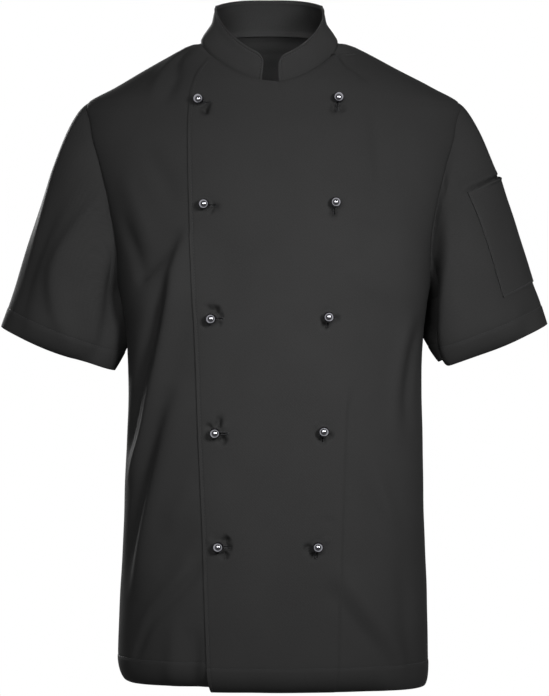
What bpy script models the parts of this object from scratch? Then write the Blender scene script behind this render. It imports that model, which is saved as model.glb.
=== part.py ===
"""A short-sleeved, double-breasted chef jacket, filled out as when it is worn, with no wearer.

Metres, +Z up, and the front faces -Y, so +X is the wearer's left. The origin lies midway between
the neck ends of the two shoulder seams. The numbers below are millimetres, and mesh points are
turned to metres where each mesh is made.

The body is a stack of rounded sections, one for each height. A panel is a grid of points on it,
row by row, between its own edges: centre, side seam, armhole, shoulder seam and neckline.
"""

import math
from collections import namedtuple

import bmesh
import bpy
import numpy as np
from mathutils import Matrix, Vector

MM = 0.001

# Cloth
WALL = 1.6
COLLAR_WALL = 2.4
COLLAR_SEAM_GAP = 0.5
SEAM_GAP = 0.3
SHARPEST_MITRE = 0.7
LAP_STEP = 2.0  # how far the flap's outer face stands off the underlap's

# Lengths, as heights over the neck ends of the shoulder seams
HEM_Z = -768.0
UNDERLAP_HEM_LIFT = 6.0
SHOULDER_TIP_Z = -73.0
ARMPIT_Z = -310.0
FRONT_NECK_DROP = 54.0
BACK_NECK_RISE = 19.0
NECK_HALF_WIDTH = 82.5
FRONT_NECK_ROUND = 1.6
BACK_NECK_ROUND = 2.2

# How far the armhole reaches forwards and backwards of the side seam
ARMHOLE_FRONT = 50.0
ARMHOLE_BACK = 54.0
ARMHOLE_EGG = 0.15

# The side of the body is pressed in under the arm
PIT_HALF_WIDTH = 152.0
PIT_FLARE_DOWN = 0.20
PIT_FLARE_UP = 1.2
PIT_ROUND = 0.024
PIT_BLEND = 6.0

Section = namedtuple("Section", "z half_width front back square lean")
BODY = (
    Section(24, 76, 42, 78, 2.3, -3.0),
    Section(10, 80, 45, 83, 2.3, -3.0),
    Section(0, 82.5, 48, 87, 2.3, -3.0),
    Section(-4, 97.5, 49, 89, 2.3, -2.0),
    Section(-10, 110, 51, 90.5, 2.2, -0.8),
    Section(-20, 128.5, 57, 94, 2.05, 0.5),
    Section(-40, 165, 73, 99.5, 1.85, 2.0),
    Section(-54, 190.5, 82, 103, 1.75, 2.8),
    Section(-73, 223.5, 89, 107, 1.72, 2.5),
    Section(-85, 231.5, 93, 110, 1.76, 2.2),
    Section(-110, 231.5, 101, 114, 1.9, 2.0),
    Section(-150, 222, 110, 118, 2.1, 2.0),
    Section(-200, 207, 117, 119.5, 2.3, 2.0),
    Section(-250, 194, 121, 118, 2.5, 2.5),
    Section(-310, 185, 122, 114, 2.8, 3.0),
    Section(-345, 179, 121, 111, 2.8, 4.0),
    Section(-400, 176.8, 119, 106, 2.6, 4.0),
    Section(-480, 178, 117.5, 103, 2.4, 3.4),
    Section(-560, 180, 117, 104, 2.4, 3.2),
    Section(-640, 183, 117, 108, 2.4, 2.6),
    Section(-720, 185.5, 118, 112, 2.4, 2.3),
    Section(-800, 188, 119, 115, 2.4, 2.0),
)

# Where the free front edges run, as a distance from the centre front
Edge = namedtuple("Edge", "z flap underlap")
FRONT_EDGES = (
    Edge(-20, 72, 72.2),
    Edge(-34, 84, 82),
    Edge(-50, 93, 92),
    Edge(-72, 98, 96),
    Edge(-110, 99, 96),
    Edge(-250, 96, 88),
    Edge(-400, 91, 82),
    Edge(-580, 83, 76),
    Edge(-790, 75, 71),
)
LAP_CORNER_Z = -20.0

# Each stud button's place, as seen from the front
Stud = namedtuple("Stud", "row x z")
STUDS_RIGHT = (
    Stud(1, -84, -78),
    Stud(2, -77, -200),
    Stud(3, -69, -332),
    Stud(4, -64, -465),
    Stud(5, -60.5, -597),
)
STUDS_LEFT = (
    Stud(1, 77, -76),
    Stud(2, 73.5, -198),
    Stud(3, 65.5, -330),
    Stud(4, 59.5, -463),
    Stud(5, 53, -597),
)
BALL_RADIUS = 6.0
SHANK_RADIUS = 1.6
DISC_RADIUS = 7.5
DISC_THICK = 1.6
BALL_CLEARANCE = 0.3
DISC_CLEARANCE = 1.0
SLOT_HALF_WIDTH = 2.2
SLOT_LENGTH = 15.0

# Sleeves, in the plane that faces the front; the tilt is from the vertical
CUFF_X = 261.5
CUFF_Z = -363.0
CUFF_HALF_WIDTH = 73.5
CUFF_HALF_DEPTH = 61.0
CUFF_FRONT_DROP = 6.5
CUFF_TILT = 21.0
SLEEVE_LEAN = 3.0
RIGHT_CUFF_DROP = 3.0

# How far each line of the sleeve tilts from the vertical, at the cuff and where it meets the body
OUTER_TILT = 19.5
UNDER_TILT = 34.0
CAP_TOP_TILT = 54.0
CAP_UNDER_TILT = 24.0
CAP_TOP_PULL = 0.45
CAP_FULLNESS = 0.22

# Distances from the cuff of the rings that the sleeve shares with its pocket
SLEEVE_RINGS = (0, 20, 56, 87, 119, 150, 182)
POCKET_RINGS = (2, 6)
POCKET_COLUMNS = (-1, 4)
POCKET_GAP = 0.4
SHORTEST_FULL_LINE = 225.0
UPPER_RINGS = 4

# Collar, a band that leans in as it rises and flares at its foot, most at the sides
COLLAR_HALF_GAP = 10.0
COLLAR_CORNER = 12.0
COLLAR_LEAN_SIDE = 0.21
COLLAR_LEAN_FRONT = 0.17
COLLAR_LEAN_BACK = 0.11
COLLAR_FOOT_SIDE = 9.0
COLLAR_FOOT_FRONT = 2.5
COLLAR_FOOT_HEIGHT = 25.0
CollarRise = namedtuple("CollarRise", "turn rise")
COLLAR_RISES = (
    CollarRise(0.0, 31),
    CollarRise(0.25, 36),
    CollarRise(0.5, 42),
    CollarRise(0.75, 41),
    CollarRise(1.0, 39),
)

# Where the left front comes down beyond the underlap's edge
LAP_EASE_START = 3.0
LAP_EASE_LENGTH = 14.0
LAP_EASE_UP = 12.0
BACK_HEM_LIFT = 3.0

# Grid counts
BODY_ROWS = (-768, -706, -640, -570, -500, -440, -385, -345)
ARM_STEPS = 12
SHOULDER_ROWS = (-64,)
NECK_STEPS = 9
BACK_NECK_STEPS = 5
LAP_COLUMNS = 4
SIDE_COLUMNS = 5
EASED_COLUMNS = 4
BACK_COLUMNS = 7
COLLAR_ROWS = 3
COLLAR_CORNER_COLUMNS = (1.6, 4.0, 7.5)
BALL_STEPS = 9
BALL_SEGMENTS = 20
SLOT_SEGMENTS = 16
SLOT_DEPTH = 12.0

BLACK_TWILL = (0.028, 0.028, 0.030)
DARK_METAL = (0.16, 0.16, 0.17)


def column(table, name):
    """A smooth function of z, or of the table's first column, through one named column."""
    rows = sorted(table, key=lambda row: row[0])
    at = np.array([row[0] for row in rows], float)
    value = np.array([getattr(row, name) for row in rows], float)
    step = np.diff(at)
    slope = np.diff(value) / step
    tangent = np.empty_like(value)
    tangent[0], tangent[-1] = slope[0], slope[-1]
    same_way = slope[:-1] * slope[1:] > 0
    safe = np.where(same_way, slope[:-1] + slope[1:], 1.0)
    tangent[1:-1] = np.where(same_way, 2 * slope[:-1] * slope[1:] / safe, 0.0)

    def through(x):
        x = np.clip(np.asarray(x, float), at[0], at[-1])
        i = np.clip(np.searchsorted(at, x, side="right") - 1, 0, len(step) - 1)
        h = step[i]
        t = (x - at[i]) / h
        start = (1 + 2 * t) * (1 - t) ** 2 * value[i] + t * (1 - t) ** 2 * h * tangent[i]
        end = t * t * (3 - 2 * t) * value[i + 1] + t * t * (t - 1) * h * tangent[i + 1]
        return start + end

    return through


half_width = column(BODY, "half_width")
front_depth = column(BODY, "front")
back_depth = column(BODY, "back")
square = column(BODY, "square")
lean = column(BODY, "lean")
flap_edge = column(FRONT_EDGES, "flap")
underlap_edge = column(FRONT_EDGES, "underlap")
collar_rise = column(COLLAR_RISES, "rise")


def smooth_step(t):
    t = np.clip(t, 0.0, 1.0)
    return t * t * (3 - 2 * t)


def unit(v):
    return v / np.linalg.norm(v, axis=-1, keepdims=True)


def body_point(turn, z):
    """A point of the body. turn is an angle: 0 at the centre front, a right angle at the side
    seam and two at the centre back, positive towards the wearer's left."""
    turn, z = np.broadcast_arrays(np.asarray(turn, float), np.asarray(z, float))
    power = 2 / square(z)
    across = np.abs(np.sin(turn)) ** power * half_width(z)
    ahead = np.cos(turn)
    depth = np.where(ahead > 0, -front_depth(z), back_depth(z))
    y = depth * np.abs(ahead) ** power
    below = np.maximum(ARMPIT_Z - z, 0) * PIT_FLARE_DOWN
    above = np.maximum(z - ARMPIT_Z, 0) * PIT_FLARE_UP
    pressed = PIT_HALF_WIDTH + below + above + PIT_ROUND * y * y
    nearer = np.minimum(across, pressed)
    gap = np.abs(across - pressed) / PIT_BLEND
    across = nearer - PIT_BLEND * np.log1p(np.exp(-gap))
    return np.stack([lean(z) + np.sign(np.sin(turn)) * across, y, z], axis=-1)


def body_normal(turn, z):
    """The outward normal of the body there."""
    d_turn, d_z = 2e-3, 0.5
    round_it = body_point(turn + d_turn, z) - body_point(turn - d_turn, z)
    up = body_point(turn, z + d_z) - body_point(turn, z - d_z)
    return unit(np.cross(round_it, up))


def turn_at_x(x, z):
    """The turn of a point of the front that lies x off the section's middle."""
    share = np.clip(np.abs(x) / half_width(z), 0, 1)
    return np.sign(x) * np.arcsin(share ** (square(z) / 2))


def turn_at_y(y, z):
    """The turn, on the wearer's left, of a point that lies y behind the side seam."""
    depth = np.where(y < 0, front_depth(z), back_depth(z))
    share = np.clip(np.abs(y) / depth, 0, 1) ** (square(z) / 2)
    return math.pi / 2 + np.sign(y) * np.arcsin(share)


def armhole(angle):
    """(turn, z) on the left armhole. The angle is 0 at the shoulder tip, a right angle at the
    front, two at the armpit, and negative along the back."""
    z = ARMPIT_Z + (SHOULDER_TIP_Z - ARMPIT_Z) * (1 + np.cos(angle)) / 2
    reach = np.where(np.sin(angle) > 0, -ARMHOLE_FRONT, ARMHOLE_BACK)
    y = reach * np.abs(np.sin(angle)) * (1 - ARMHOLE_EGG * np.cos(angle))
    return turn_at_y(y, z), z


def front_neck(share):
    """(turn, z) on the left half of the front neckline, from the centre to the shoulder."""
    power = 2 / FRONT_NECK_ROUND
    angle = share * math.pi / 2
    z = -FRONT_NECK_DROP * np.maximum(np.cos(angle), 0) ** power
    return turn_at_x(NECK_HALF_WIDTH * np.sin(angle) ** power, z), z


def back_neck(share):
    """(turn, z) on the left half of the back neckline, from the shoulder to the centre."""
    angle = share * math.pi / 2
    z = BACK_NECK_RISE * np.sin(angle)
    x = NECK_HALF_WIDTH * np.maximum(np.cos(angle), 0) ** (2 / BACK_NECK_ROUND)
    return math.pi - turn_at_x(x, z), z


def even_turns(z, start, end, count):
    """Turns from start to end at one height, evenly spaced along the cloth."""
    fine = np.linspace(start, end, 160)
    length = np.linalg.norm(np.diff(body_point(fine, z), axis=0), axis=1)
    along = np.concatenate([[0], np.cumsum(length)])
    if along[-1] < 1e-6:
        return np.linspace(start, end, count + 1)
    return np.interp(np.linspace(0, along[-1], count + 1), along, fine)


# --- Rows: for each height, the turns where a left-hand half panel's stretches begin and end ---


def arm_angles():
    """Angles along the armhole, from just above the armpit up to the shoulder tip."""
    return [math.pi * (1 - k / ARM_STEPS) for k in range(1, ARM_STEPS + 1)]


def neck_shares():
    """Shares of the front neckline, with one at the collar's front end."""
    reach = (COLLAR_HALF_GAP / NECK_HALF_WIDTH) ** (FRONT_NECK_ROUND / 2)
    collar_end = math.asin(reach) / (math.pi / 2)
    return [0.0, collar_end, *(k / NECK_STEPS for k in range(2, NECK_STEPS + 1))]


def front_spans():
    """(z, start, end) of each row of a front's half, from the hem up."""
    side = math.pi / 2
    spans = [(z, 0.0, side) for z in (*BODY_ROWS, ARMPIT_Z)]
    for angle in arm_angles():
        turn, z = armhole(angle)
        spans.append((float(z), 0.0, float(turn)))
    spans += [(z, 0.0, side) for z in SHOULDER_ROWS]
    for share in neck_shares():
        turn, z = front_neck(share)
        spans.append((float(z), float(turn), side))
    return spans


def edge_turn(edge, z, start, end, past=0.0):
    """The turn of a front edge, kept a little inside the row near the top of the neckline."""
    room = end - start
    if z > LAP_CORNER_Z:
        return start + room * (0.2 + 0.02 * past)
    return float(turn_at_x(edge(z) + past, z))


def front_half_rows(edge, eased):
    """Rows of a front's own half. Its columns follow the other front's edge, and where it comes
    down beyond that edge there is a column at each end of the slope."""
    rows = []
    for z, start, end in front_spans():
        stops = [start, edge_turn(edge, z, start, end)]
        if eased:
            stops.append(edge_turn(edge, z, start, end, LAP_EASE_START))
            stops.append(edge_turn(edge, z, start, end, LAP_EASE_START + LAP_EASE_LENGTH))
        rows.append((z, [*stops, end]))
    return rows


def back_half_rows():
    side = math.pi / 2
    rows = [(z, [math.pi, side]) for z in (*BODY_ROWS, ARMPIT_Z)]
    for angle in arm_angles():
        turn, z = armhole(-angle)
        rows.append((float(z), [math.pi, float(turn)]))
    rows += [(z, [math.pi, side]) for z in SHOULDER_ROWS]
    rows += [(float(front_neck(share)[1]), [math.pi, side]) for share in neck_shares()]
    for k in range(1, BACK_NECK_STEPS + 1):
        turn, z = back_neck(k / BACK_NECK_STEPS)
        rows.append((float(z), [math.pi, float(turn)]))
    return rows


def lap_rows(edge):
    """From the centre front across to a free front edge, with the neckline above."""
    rows = []
    for z, start, end in front_spans():
        if z > LAP_CORNER_Z:
            break
        rows.append((z, [start, edge_turn(edge, z, start, end)]))
    corner = float(turn_at_x(edge(LAP_CORNER_Z), LAP_CORNER_Z))
    rows.append((LAP_CORNER_Z, [corner, corner]))
    return rows


# --- Open cloth: points, outward normals, four-cornered faces ---


class Cloth:
    """An open surface that becomes a wall. Points are millimetres."""

    def __init__(self):
        self.points = []
        self.normals = []
        self.faces = []

    def add_grid(self, points, normals, closed=False):
        """points and normals are rows by columns by 3, and the normals face the viewer when the
        rows run up and the columns run to the right."""
        rows, columns = points.shape[:2]
        first = len(self.points)
        self.points.extend(points.reshape(-1, 3))
        self.normals.extend(normals.reshape(-1, 3))
        last = columns if closed else columns - 1
        for r in range(rows - 1):
            for c in range(last):
                low, high = first + r * columns, first + (r + 1) * columns
                right = (c + 1) % columns
                self.faces.append((low + c, low + right, high + right, high + c))


def body_grid(rows, counts, side, stand_off=None, hem_lift=0.0):
    """Points and normals of a half panel. Each row's stretches are divided by counts, and side
    is 1 for the wearer's left and -1 for the right."""
    points, normals = [], []
    for z, stops in rows:
        height = z + hem_lift if z == HEM_Z else z
        turns = [stops[:1]]
        for start, end, count in zip(stops[:-1], stops[1:], counts):
            turns.append(even_turns(height, start, end, count)[1:])
        turns = np.concatenate(turns)
        point, normal = body_point(turns, height), body_normal(turns, height)
        mirror = np.array([side, 1, 1])
        middle = np.array([lean(height), 0, 0])
        point = (point - middle) * mirror + middle
        normal = normal * mirror
        if stand_off is not None:
            point = point + normal * stand_off(point)[..., None]
        points.append(point)
        normals.append(normal)
    points, normals = np.array(points), np.array(normals)
    # A grid's columns run to the viewer's right, so half of the panels are turned over.
    outward = np.cross(points[0, 1] - points[0, 0], points[1, 0] - points[0, 0])
    if outward @ normals[0, 0] < 0:
        points, normals = points[:, ::-1], normals[:, ::-1]
    return points, normals


# --- The seams that two unlike pieces share: how the wall's depth runs there ---

SEAM_DEPTH = {}


def key_of(point):
    return tuple(np.round(point, 2))


def share_seam(points, normals_a, normals_b):
    """Both pieces cut their walls along the plane halfway between their surfaces. Where the
    pieces fold back on each other, as under the arm, each keeps to its own normal instead."""
    for point, a, b in zip(points, normals_a, normals_b):
        middle = a + b
        middle = middle / np.linalg.norm(middle)
        if middle @ a > SHARPEST_MITRE:
            SEAM_DEPTH[key_of(point)] = middle / float(middle @ a)


def wall_mesh(name, cloth, thickness, seam_gap):
    """Turns an open surface into a closed wall of the thickness, under the surface, with its
    rim half a seam gap inside the surface's edge."""
    bm = bmesh.new()
    depth = bm.verts.layers.float_vector.new("depth")
    outer = [bm.verts.new(p) for p in cloth.points]
    for vert, point, normal in zip(outer, cloth.points, cloth.normals):
        vert[depth] = Vector(SEAM_DEPTH.get(key_of(point), normal))
    for face in cloth.faces:
        corners = [outer[i] for i in face]
        bm.faces.new(corners)
    bmesh.ops.remove_doubles(bm, verts=bm.verts, dist=0.02)
    # Both faces of the wall bend along the same diagonals, so it keeps its thickness.
    bmesh.ops.triangulate(bm, faces=bm.faces, quad_method="SHORT_EDGE")
    rim = [e for e in bm.edges if e.is_boundary]
    shifts = {}
    for edge in rim:
        loop = edge.link_loops[0]
        a, b = loop.vert, loop.link_loop_next.vert
        along = (b.co - a.co).normalized()
        for vert in (a, b):
            inward = vert[depth].cross(along).normalized()
            shifts.setdefault(vert, []).append(inward)
    for vert, inward in shifts.items():
        total = sum(inward, Vector())
        if len(inward) == 2:
            total = total / max(1 + inward[0].dot(inward[1]), 0.35)
        vert.co += total * seam_gap / 2
    faces = list(bm.faces)
    inner = {v: bm.verts.new(v.co - v[depth] * thickness) for v in list(bm.verts)}
    for face in faces:
        bm.faces.new([inner[v] for v in reversed(face.verts)])
    for edge in rim:
        loop = edge.link_loops[0]
        a, b = loop.vert, loop.link_loop_next.vert
        bm.faces.new((b, a, inner[a], inner[b]))
    for vert in bm.verts:
        vert.co *= MM
    mesh = bpy.data.meshes.new(name)
    bm.to_mesh(mesh)
    bm.free()
    mesh.shade_smooth()
    mesh.set_sharp_from_angle(angle=math.radians(40))
    return mesh


# --- Objects ---


def clear_scene():
    for obj in list(bpy.data.objects):
        bpy.data.objects.remove(obj)


def new_collection(name):
    collection = bpy.data.collections.new(name)
    bpy.context.scene.collection.children.link(collection)
    return collection


def new_material(name, color, roughness, metallic):
    material = bpy.data.materials.new(name)
    material.use_nodes = True
    shader = material.node_tree.nodes["Principled BSDF"]
    shader.inputs["Base Color"].default_value = (*color, 1.0)
    shader.inputs["Roughness"].default_value = roughness
    shader.inputs["Metallic"].default_value = metallic
    material.diffuse_color = (*color, 1.0)
    return material


def add_object(name, mesh, collection, material=None):
    obj = bpy.data.objects.new(name, mesh)
    if material is not None:
        mesh.materials.append(material)
    collection.objects.link(obj)
    return obj


def cloth_material(name):
    return new_material("black_twill_" + name, BLACK_TWILL, 0.85, 0.0)


# --- Sleeves ---


def armhole_loop():
    """Points and body normals of the left armhole, from the shoulder tip forwards and round."""
    count = 2 * ARM_STEPS
    angles = 2 * math.pi * np.arange(count) / count
    turn, z = armhole(np.where(angles <= math.pi, angles, angles - 2 * math.pi))
    return body_point(turn, z), body_normal(turn, z), angles


def sleeve_line(start, end, angle):
    """A smooth line up the sleeve from the cuff to the armhole, finely divided."""
    length = np.linalg.norm(end - start)
    over = max(math.cos(angle), 0.0) ** 2
    low_tilt = (OUTER_TILT + UNDER_TILT) / 2 + (OUTER_TILT - UNDER_TILT) / 2 * math.cos(angle)
    high_tilt = CAP_UNDER_TILT + (CAP_TOP_TILT - CAP_UNDER_TILT) * over
    low, high = math.radians(low_tilt), math.radians(high_tilt)
    leave = np.array([-math.sin(low), 0, math.cos(low)]) * length
    arrive = np.array([-math.sin(high), CAP_FULLNESS * math.sin(angle), math.cos(high)])
    arrive = arrive * length * (1 - (1 - CAP_TOP_PULL) * over)
    t = np.linspace(0, 1, 90)[:, None]
    near = (1 + 2 * t) * (1 - t) ** 2 * start + t * (1 - t) ** 2 * leave
    far = t * t * (3 - 2 * t) * end + t * t * (t - 1) * arrive
    return near + far


def sleeve_grid():
    """Rings by columns of the left sleeve, from the cuff up, and the outward normals."""
    ends, _, angles = armhole_loop()
    tilt = math.radians(CUFF_TILT)
    columns = []
    for end, angle in zip(ends, angles):
        out, ahead = CUFF_HALF_WIDTH * math.cos(angle), CUFF_HALF_DEPTH * math.sin(angle)
        x = CUFF_X + out * math.cos(tilt)
        z = CUFF_Z + out * math.sin(tilt) - CUFF_FRONT_DROP * math.sin(angle)
        line = sleeve_line(np.array([x, -ahead, z]), end, angle)
        steps = np.linalg.norm(np.diff(line, axis=0), axis=1)
        along = np.concatenate([[0], np.cumsum(steps)])
        share = min(1.0, along[-1] / SHORTEST_FULL_LINE)
        low = np.array(SLEEVE_RINGS, float) * share
        high = np.linspace(low[-1], along[-1], UPPER_RINGS + 1)[1:]
        stops = np.concatenate([low, high])
        columns.append(np.stack([np.interp(stops, along, line[:, i]) for i in range(3)], -1))
    points = np.array(columns).transpose(1, 0, 2)
    points[-1] = ends
    return points, -grid_normals(points, closed=True)


def grid_normals(points, closed=False):
    """Normals of a grid, which face the viewer when rows run up and columns to the right."""
    up = np.gradient(points, axis=0)
    if closed:
        rightward = np.roll(points, -1, axis=1) - np.roll(points, 1, axis=1)
    else:
        rightward = np.gradient(points, axis=1)
    return unit(np.cross(rightward, up))


def right_sleeve(points, normals):
    """The left sleeve's grid on the other side. The armhole mirrors about the body's middle at
    each height, and the cuff about the sleeves' own."""
    share = np.linspace(0, 1, len(points))[:, None]
    middle = share * lean(points[-1, :, 2])[None, :] + (1 - share) * SLEEVE_LEAN
    points, normals = points.copy(), normals.copy()
    points[..., 0] = 2 * middle - points[..., 0]
    points[..., 2] -= RIGHT_CUFF_DROP * (1 - share) ** 2
    normals[..., 0] *= -1
    return points, normals


# --- Collar ---


def collar_grid():
    """Rows by columns of the collar, from the wearer's left front end round the back to the
    right one, with the outward normals, and the body's normals along its foot."""
    places = [front_neck(share) for share in neck_shares()[1:]]
    places += [back_neck(k / BACK_NECK_STEPS) for k in range(1, BACK_NECK_STEPS + 1)]
    foot = np.array([body_point(turn, z) for turn, z in places])
    under = np.array([body_normal(turn, z) for turn, z in places])
    steps = np.linalg.norm(np.diff(foot, axis=0), axis=1)
    along = np.concatenate([[0], np.cumsum(steps)])
    stops = np.concatenate([[0], COLLAR_CORNER_COLUMNS, along[1:]])
    foot = np.stack([np.interp(stops, along, foot[:, i]) for i in range(3)], -1)
    under = unit(np.stack([np.interp(stops, along, under[:, i]) for i in range(3)], -1))
    middle = lean(foot[:, 2])
    rise = collar_rise(stops / stops[-1])
    short = np.maximum(COLLAR_CORNER - stops, 0)
    rise = rise - (COLLAR_CORNER - np.sqrt(COLLAR_CORNER**2 - short**2))
    rows = []
    for share in np.linspace(0, 1, COLLAR_ROWS + 1):
        high = rise * share
        turned = smooth_step(high / COLLAR_FOOT_HEIGHT)
        side_in = COLLAR_LEAN_SIDE * high + COLLAR_FOOT_SIDE * turned
        front_in = COLLAR_LEAN_FRONT * high + COLLAR_FOOT_FRONT * turned
        back_in = COLLAR_LEAN_BACK * high
        depth_in = np.where(foot[:, 1] < 0, front_in, back_in)
        x = middle + (foot[:, 0] - middle) * (1 - side_in / NECK_HALF_WIDTH)
        y = foot[:, 1] * (1 - depth_in / NECK_HALF_WIDTH)
        rows.append(np.stack([x, y, foot[:, 2] + high], -1))
    left = np.array(rows)
    right = left[:, -2::-1].copy()
    right[..., 0] = 2 * middle[-2::-1] - right[..., 0]
    points = np.concatenate([left, right], axis=1)
    flip = np.array([-1.0, 1, 1])
    under = np.concatenate([under, under[-2::-1] * flip])
    return points, grid_normals(points), under


# --- Stud buttons and their slots ---


def place_on_body(x, z):
    """Matrix, in metres, of a place on the front. X runs to the viewer's right, Z outwards."""
    middle = float(lean(z))
    turn = turn_at_x(abs(x - middle), z)
    point, normal = body_point(turn, z), body_normal(turn, z)
    if x < middle:
        point = np.array([2 * middle - point[0], point[1], point[2]])
        normal = normal * np.array([-1, 1, 1])
    out = Vector(normal)
    right = Vector((0, 0, 1)).cross(out).normalized()
    up = out.cross(right)
    turned = Matrix((right, up, out)).transposed().to_4x4()
    return Matrix.Translation(Vector(point) * MM) @ turned


def stud_mesh(name):
    """A ball on a shank, with a disc behind the cloth, turned about its own Z."""
    ball_low = LAP_STEP + BALL_CLEARANCE
    ball_middle = ball_low + BALL_RADIUS
    disc_top = -WALL - DISC_CLEARANCE
    profile = [
        (0, disc_top - DISC_THICK),
        (DISC_RADIUS - 0.5, disc_top - DISC_THICK),
        (DISC_RADIUS, disc_top - DISC_THICK / 2),
        (DISC_RADIUS - 0.4, disc_top),
        (SHANK_RADIUS, disc_top),
    ]
    foot = math.asin(SHANK_RADIUS / BALL_RADIUS)
    for angle in np.linspace(foot, math.pi, BALL_STEPS + 1):
        reach = BALL_RADIUS * math.sin(angle)
        profile.append((0 if angle == math.pi else reach, ball_middle - BALL_RADIUS * math.cos(angle)))
    bm = bmesh.new()
    verts = [bm.verts.new((r * MM, 0, z * MM)) for r, z in profile]
    edges = [bm.edges.new(pair) for pair in zip(verts[:-1], verts[1:])]
    bmesh.ops.spin(
        bm,
        geom=verts + edges,
        cent=(0, 0, 0),
        axis=(0, 0, 1),
        angle=2 * math.pi,
        steps=BALL_SEGMENTS,
        use_merge=True,
    )
    bmesh.ops.remove_doubles(bm, verts=bm.verts, dist=0.01 * MM)
    bmesh.ops.recalc_face_normals(bm, faces=bm.faces)
    mesh = bpy.data.meshes.new(name)
    bm.to_mesh(mesh)
    bm.free()
    mesh.shade_smooth()
    mesh.set_sharp_from_angle(angle=math.radians(40))
    return mesh


def slot_mesh(name):
    """A slot that starts round the shank and runs along +X."""
    bm = bmesh.new()
    bmesh.ops.create_cone(
        bm,
        cap_ends=True,
        segments=SLOT_SEGMENTS,
        radius1=SLOT_HALF_WIDTH * MM,
        radius2=SLOT_HALF_WIDTH * MM,
        depth=SLOT_DEPTH * MM,
    )
    for vert in bm.verts:
        if vert.co.x > 1e-6:
            vert.co.x += (SLOT_LENGTH - SLOT_HALF_WIDTH) * MM
    bmesh.ops.recalc_face_normals(bm, faces=bm.faces)
    mesh = bpy.data.meshes.new(name)
    bm.to_mesh(mesh)
    bm.free()
    return mesh


def add_studs(jacket, cutters):
    metal = new_material("dark_metal_studs", DARK_METAL, 0.22, 0.9)
    down = Matrix.Rotation(-math.pi / 2, 4, "Z")
    columns = (("right", STUDS_RIGHT, Matrix.Identity(4)), ("left", STUDS_LEFT, down))
    for side, studs, slot_turn in columns:
        for stud in studs:
            place = place_on_body(stud.x, stud.z)
            name = f"button_{side}_{stud.row}"
            add_object(name, stud_mesh(name), jacket, metal).matrix_world = place
            slot = add_object(f"slot_{side}_{stud.row}", slot_mesh("slot"), cutters)
            slot.matrix_world = place @ slot_turn
            slot.display_type = "WIRE"
            slot.hide_render = True


def cut_slots(obj, cutters):
    boolean = obj.modifiers.new("Buttonholes", "BOOLEAN")
    boolean.operation = "DIFFERENCE"
    boolean.solver = "EXACT"
    boolean.operand_type = "COLLECTION"
    boolean.collection = cutters


# --- The jacket ---


def flap_stand_off(points):
    """How far the left front's outer face stands off the body: over the underlap, one step."""
    z = points[..., 2]
    past = points[..., 0] - lean(z) - underlap_edge(z)
    across = 1 - smooth_step((past - LAP_EASE_START) / LAP_EASE_LENGTH)
    up = 1 - smooth_step((z - LAP_CORNER_Z) / LAP_EASE_UP)
    return LAP_STEP * across * up


def front_cloth(side, edge, other_edge, stand_off, hem_lift):
    cloth = Cloth()
    eased = stand_off is not None
    counts = (LAP_COLUMNS, 1, 1, EASED_COLUMNS) if eased else (LAP_COLUMNS, SIDE_COLUMNS)
    own = front_half_rows(other_edge, eased)
    cloth.add_grid(*body_grid(own, counts, side, stand_off, hem_lift))
    cloth.add_grid(*body_grid(lap_rows(edge), (LAP_COLUMNS,), -side, stand_off, hem_lift))
    return cloth


def back_cloth():
    cloth = Cloth()
    for side in (1, -1):
        cloth.add_grid(*body_grid(back_half_rows(), (BACK_COLUMNS,), side, None, BACK_HEM_LIFT))
    return cloth


def grid_cloth(points, normals, closed=False):
    cloth = Cloth()
    cloth.add_grid(points, normals, closed)
    return cloth


def build():
    clear_scene()
    jacket = new_collection("Chef_Jacket")
    cutters = new_collection("Buttonhole_Cutters")
    cutters.hide_render = True

    left_sleeve, left_normals = sleeve_grid()
    right_points, right_normals = right_sleeve(left_sleeve, left_normals)
    _, body_normals, _ = armhole_loop()
    share_seam(left_sleeve[-1], body_normals, left_normals[-1])
    share_seam(right_points[-1], body_normals * np.array([-1, 1, 1]), right_normals[-1])
    collar, collar_normals, under = collar_grid()
    share_seam(collar[0], under, collar_normals[0])

    cloths = {
        "front_right": (front_cloth(-1, underlap_edge, flap_edge, None, UNDERLAP_HEM_LIFT), WALL),
        "front_left": (front_cloth(1, flap_edge, underlap_edge, flap_stand_off, 0.0), WALL),
        "back": (back_cloth(), WALL),
        # Seen from outside, the left sleeve's columns run to the left.
        "sleeve_left": (grid_cloth(left_sleeve[:, ::-1], left_normals[:, ::-1], True), WALL),
        "sleeve_right": (grid_cloth(right_points, right_normals, True), WALL),
        "collar": (grid_cloth(collar, collar_normals), COLLAR_WALL),
    }
    first, last = POCKET_COLUMNS
    picked = np.arange(last, first - 1, -1)
    rings = slice(POCKET_RINGS[0], POCKET_RINGS[1] + 1)
    raised = left_sleeve + left_normals * (POCKET_GAP + WALL)
    pocket = grid_cloth(raised[rings][:, picked], left_normals[rings][:, picked])
    cloths["sleeve_pocket"] = (pocket, WALL)

    for name, (cloth, thickness) in cloths.items():
        gap = COLLAR_SEAM_GAP if name == "collar" else SEAM_GAP
        mesh = wall_mesh(name, cloth, thickness, gap)
        obj = add_object(name, mesh, jacket, cloth_material(name))
        if name.startswith("front"):
            cut_slots(obj, cutters)
    add_studs(jacket, cutters)


build()
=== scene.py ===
"""A short-sleeved, double-breasted chef jacket in black twill, filled out as when it is worn.

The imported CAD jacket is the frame. Each piece of cloth here is made again on the form of its CAD
solid, in a fine grid, with its seams, hems, creases, stitching and buttonholes, and takes that
solid's place. Sizes are millimetres until a mesh is made. +Z is up and the front faces -Y, so +X
is the wearer's left, and the origin lies between the neck ends of the shoulder seams.
"""

import math
from collections import namedtuple

import bmesh
import bpy
import numpy as np
from mathutils import Matrix, Vector
from mathutils.bvhtree import BVHTree


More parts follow.
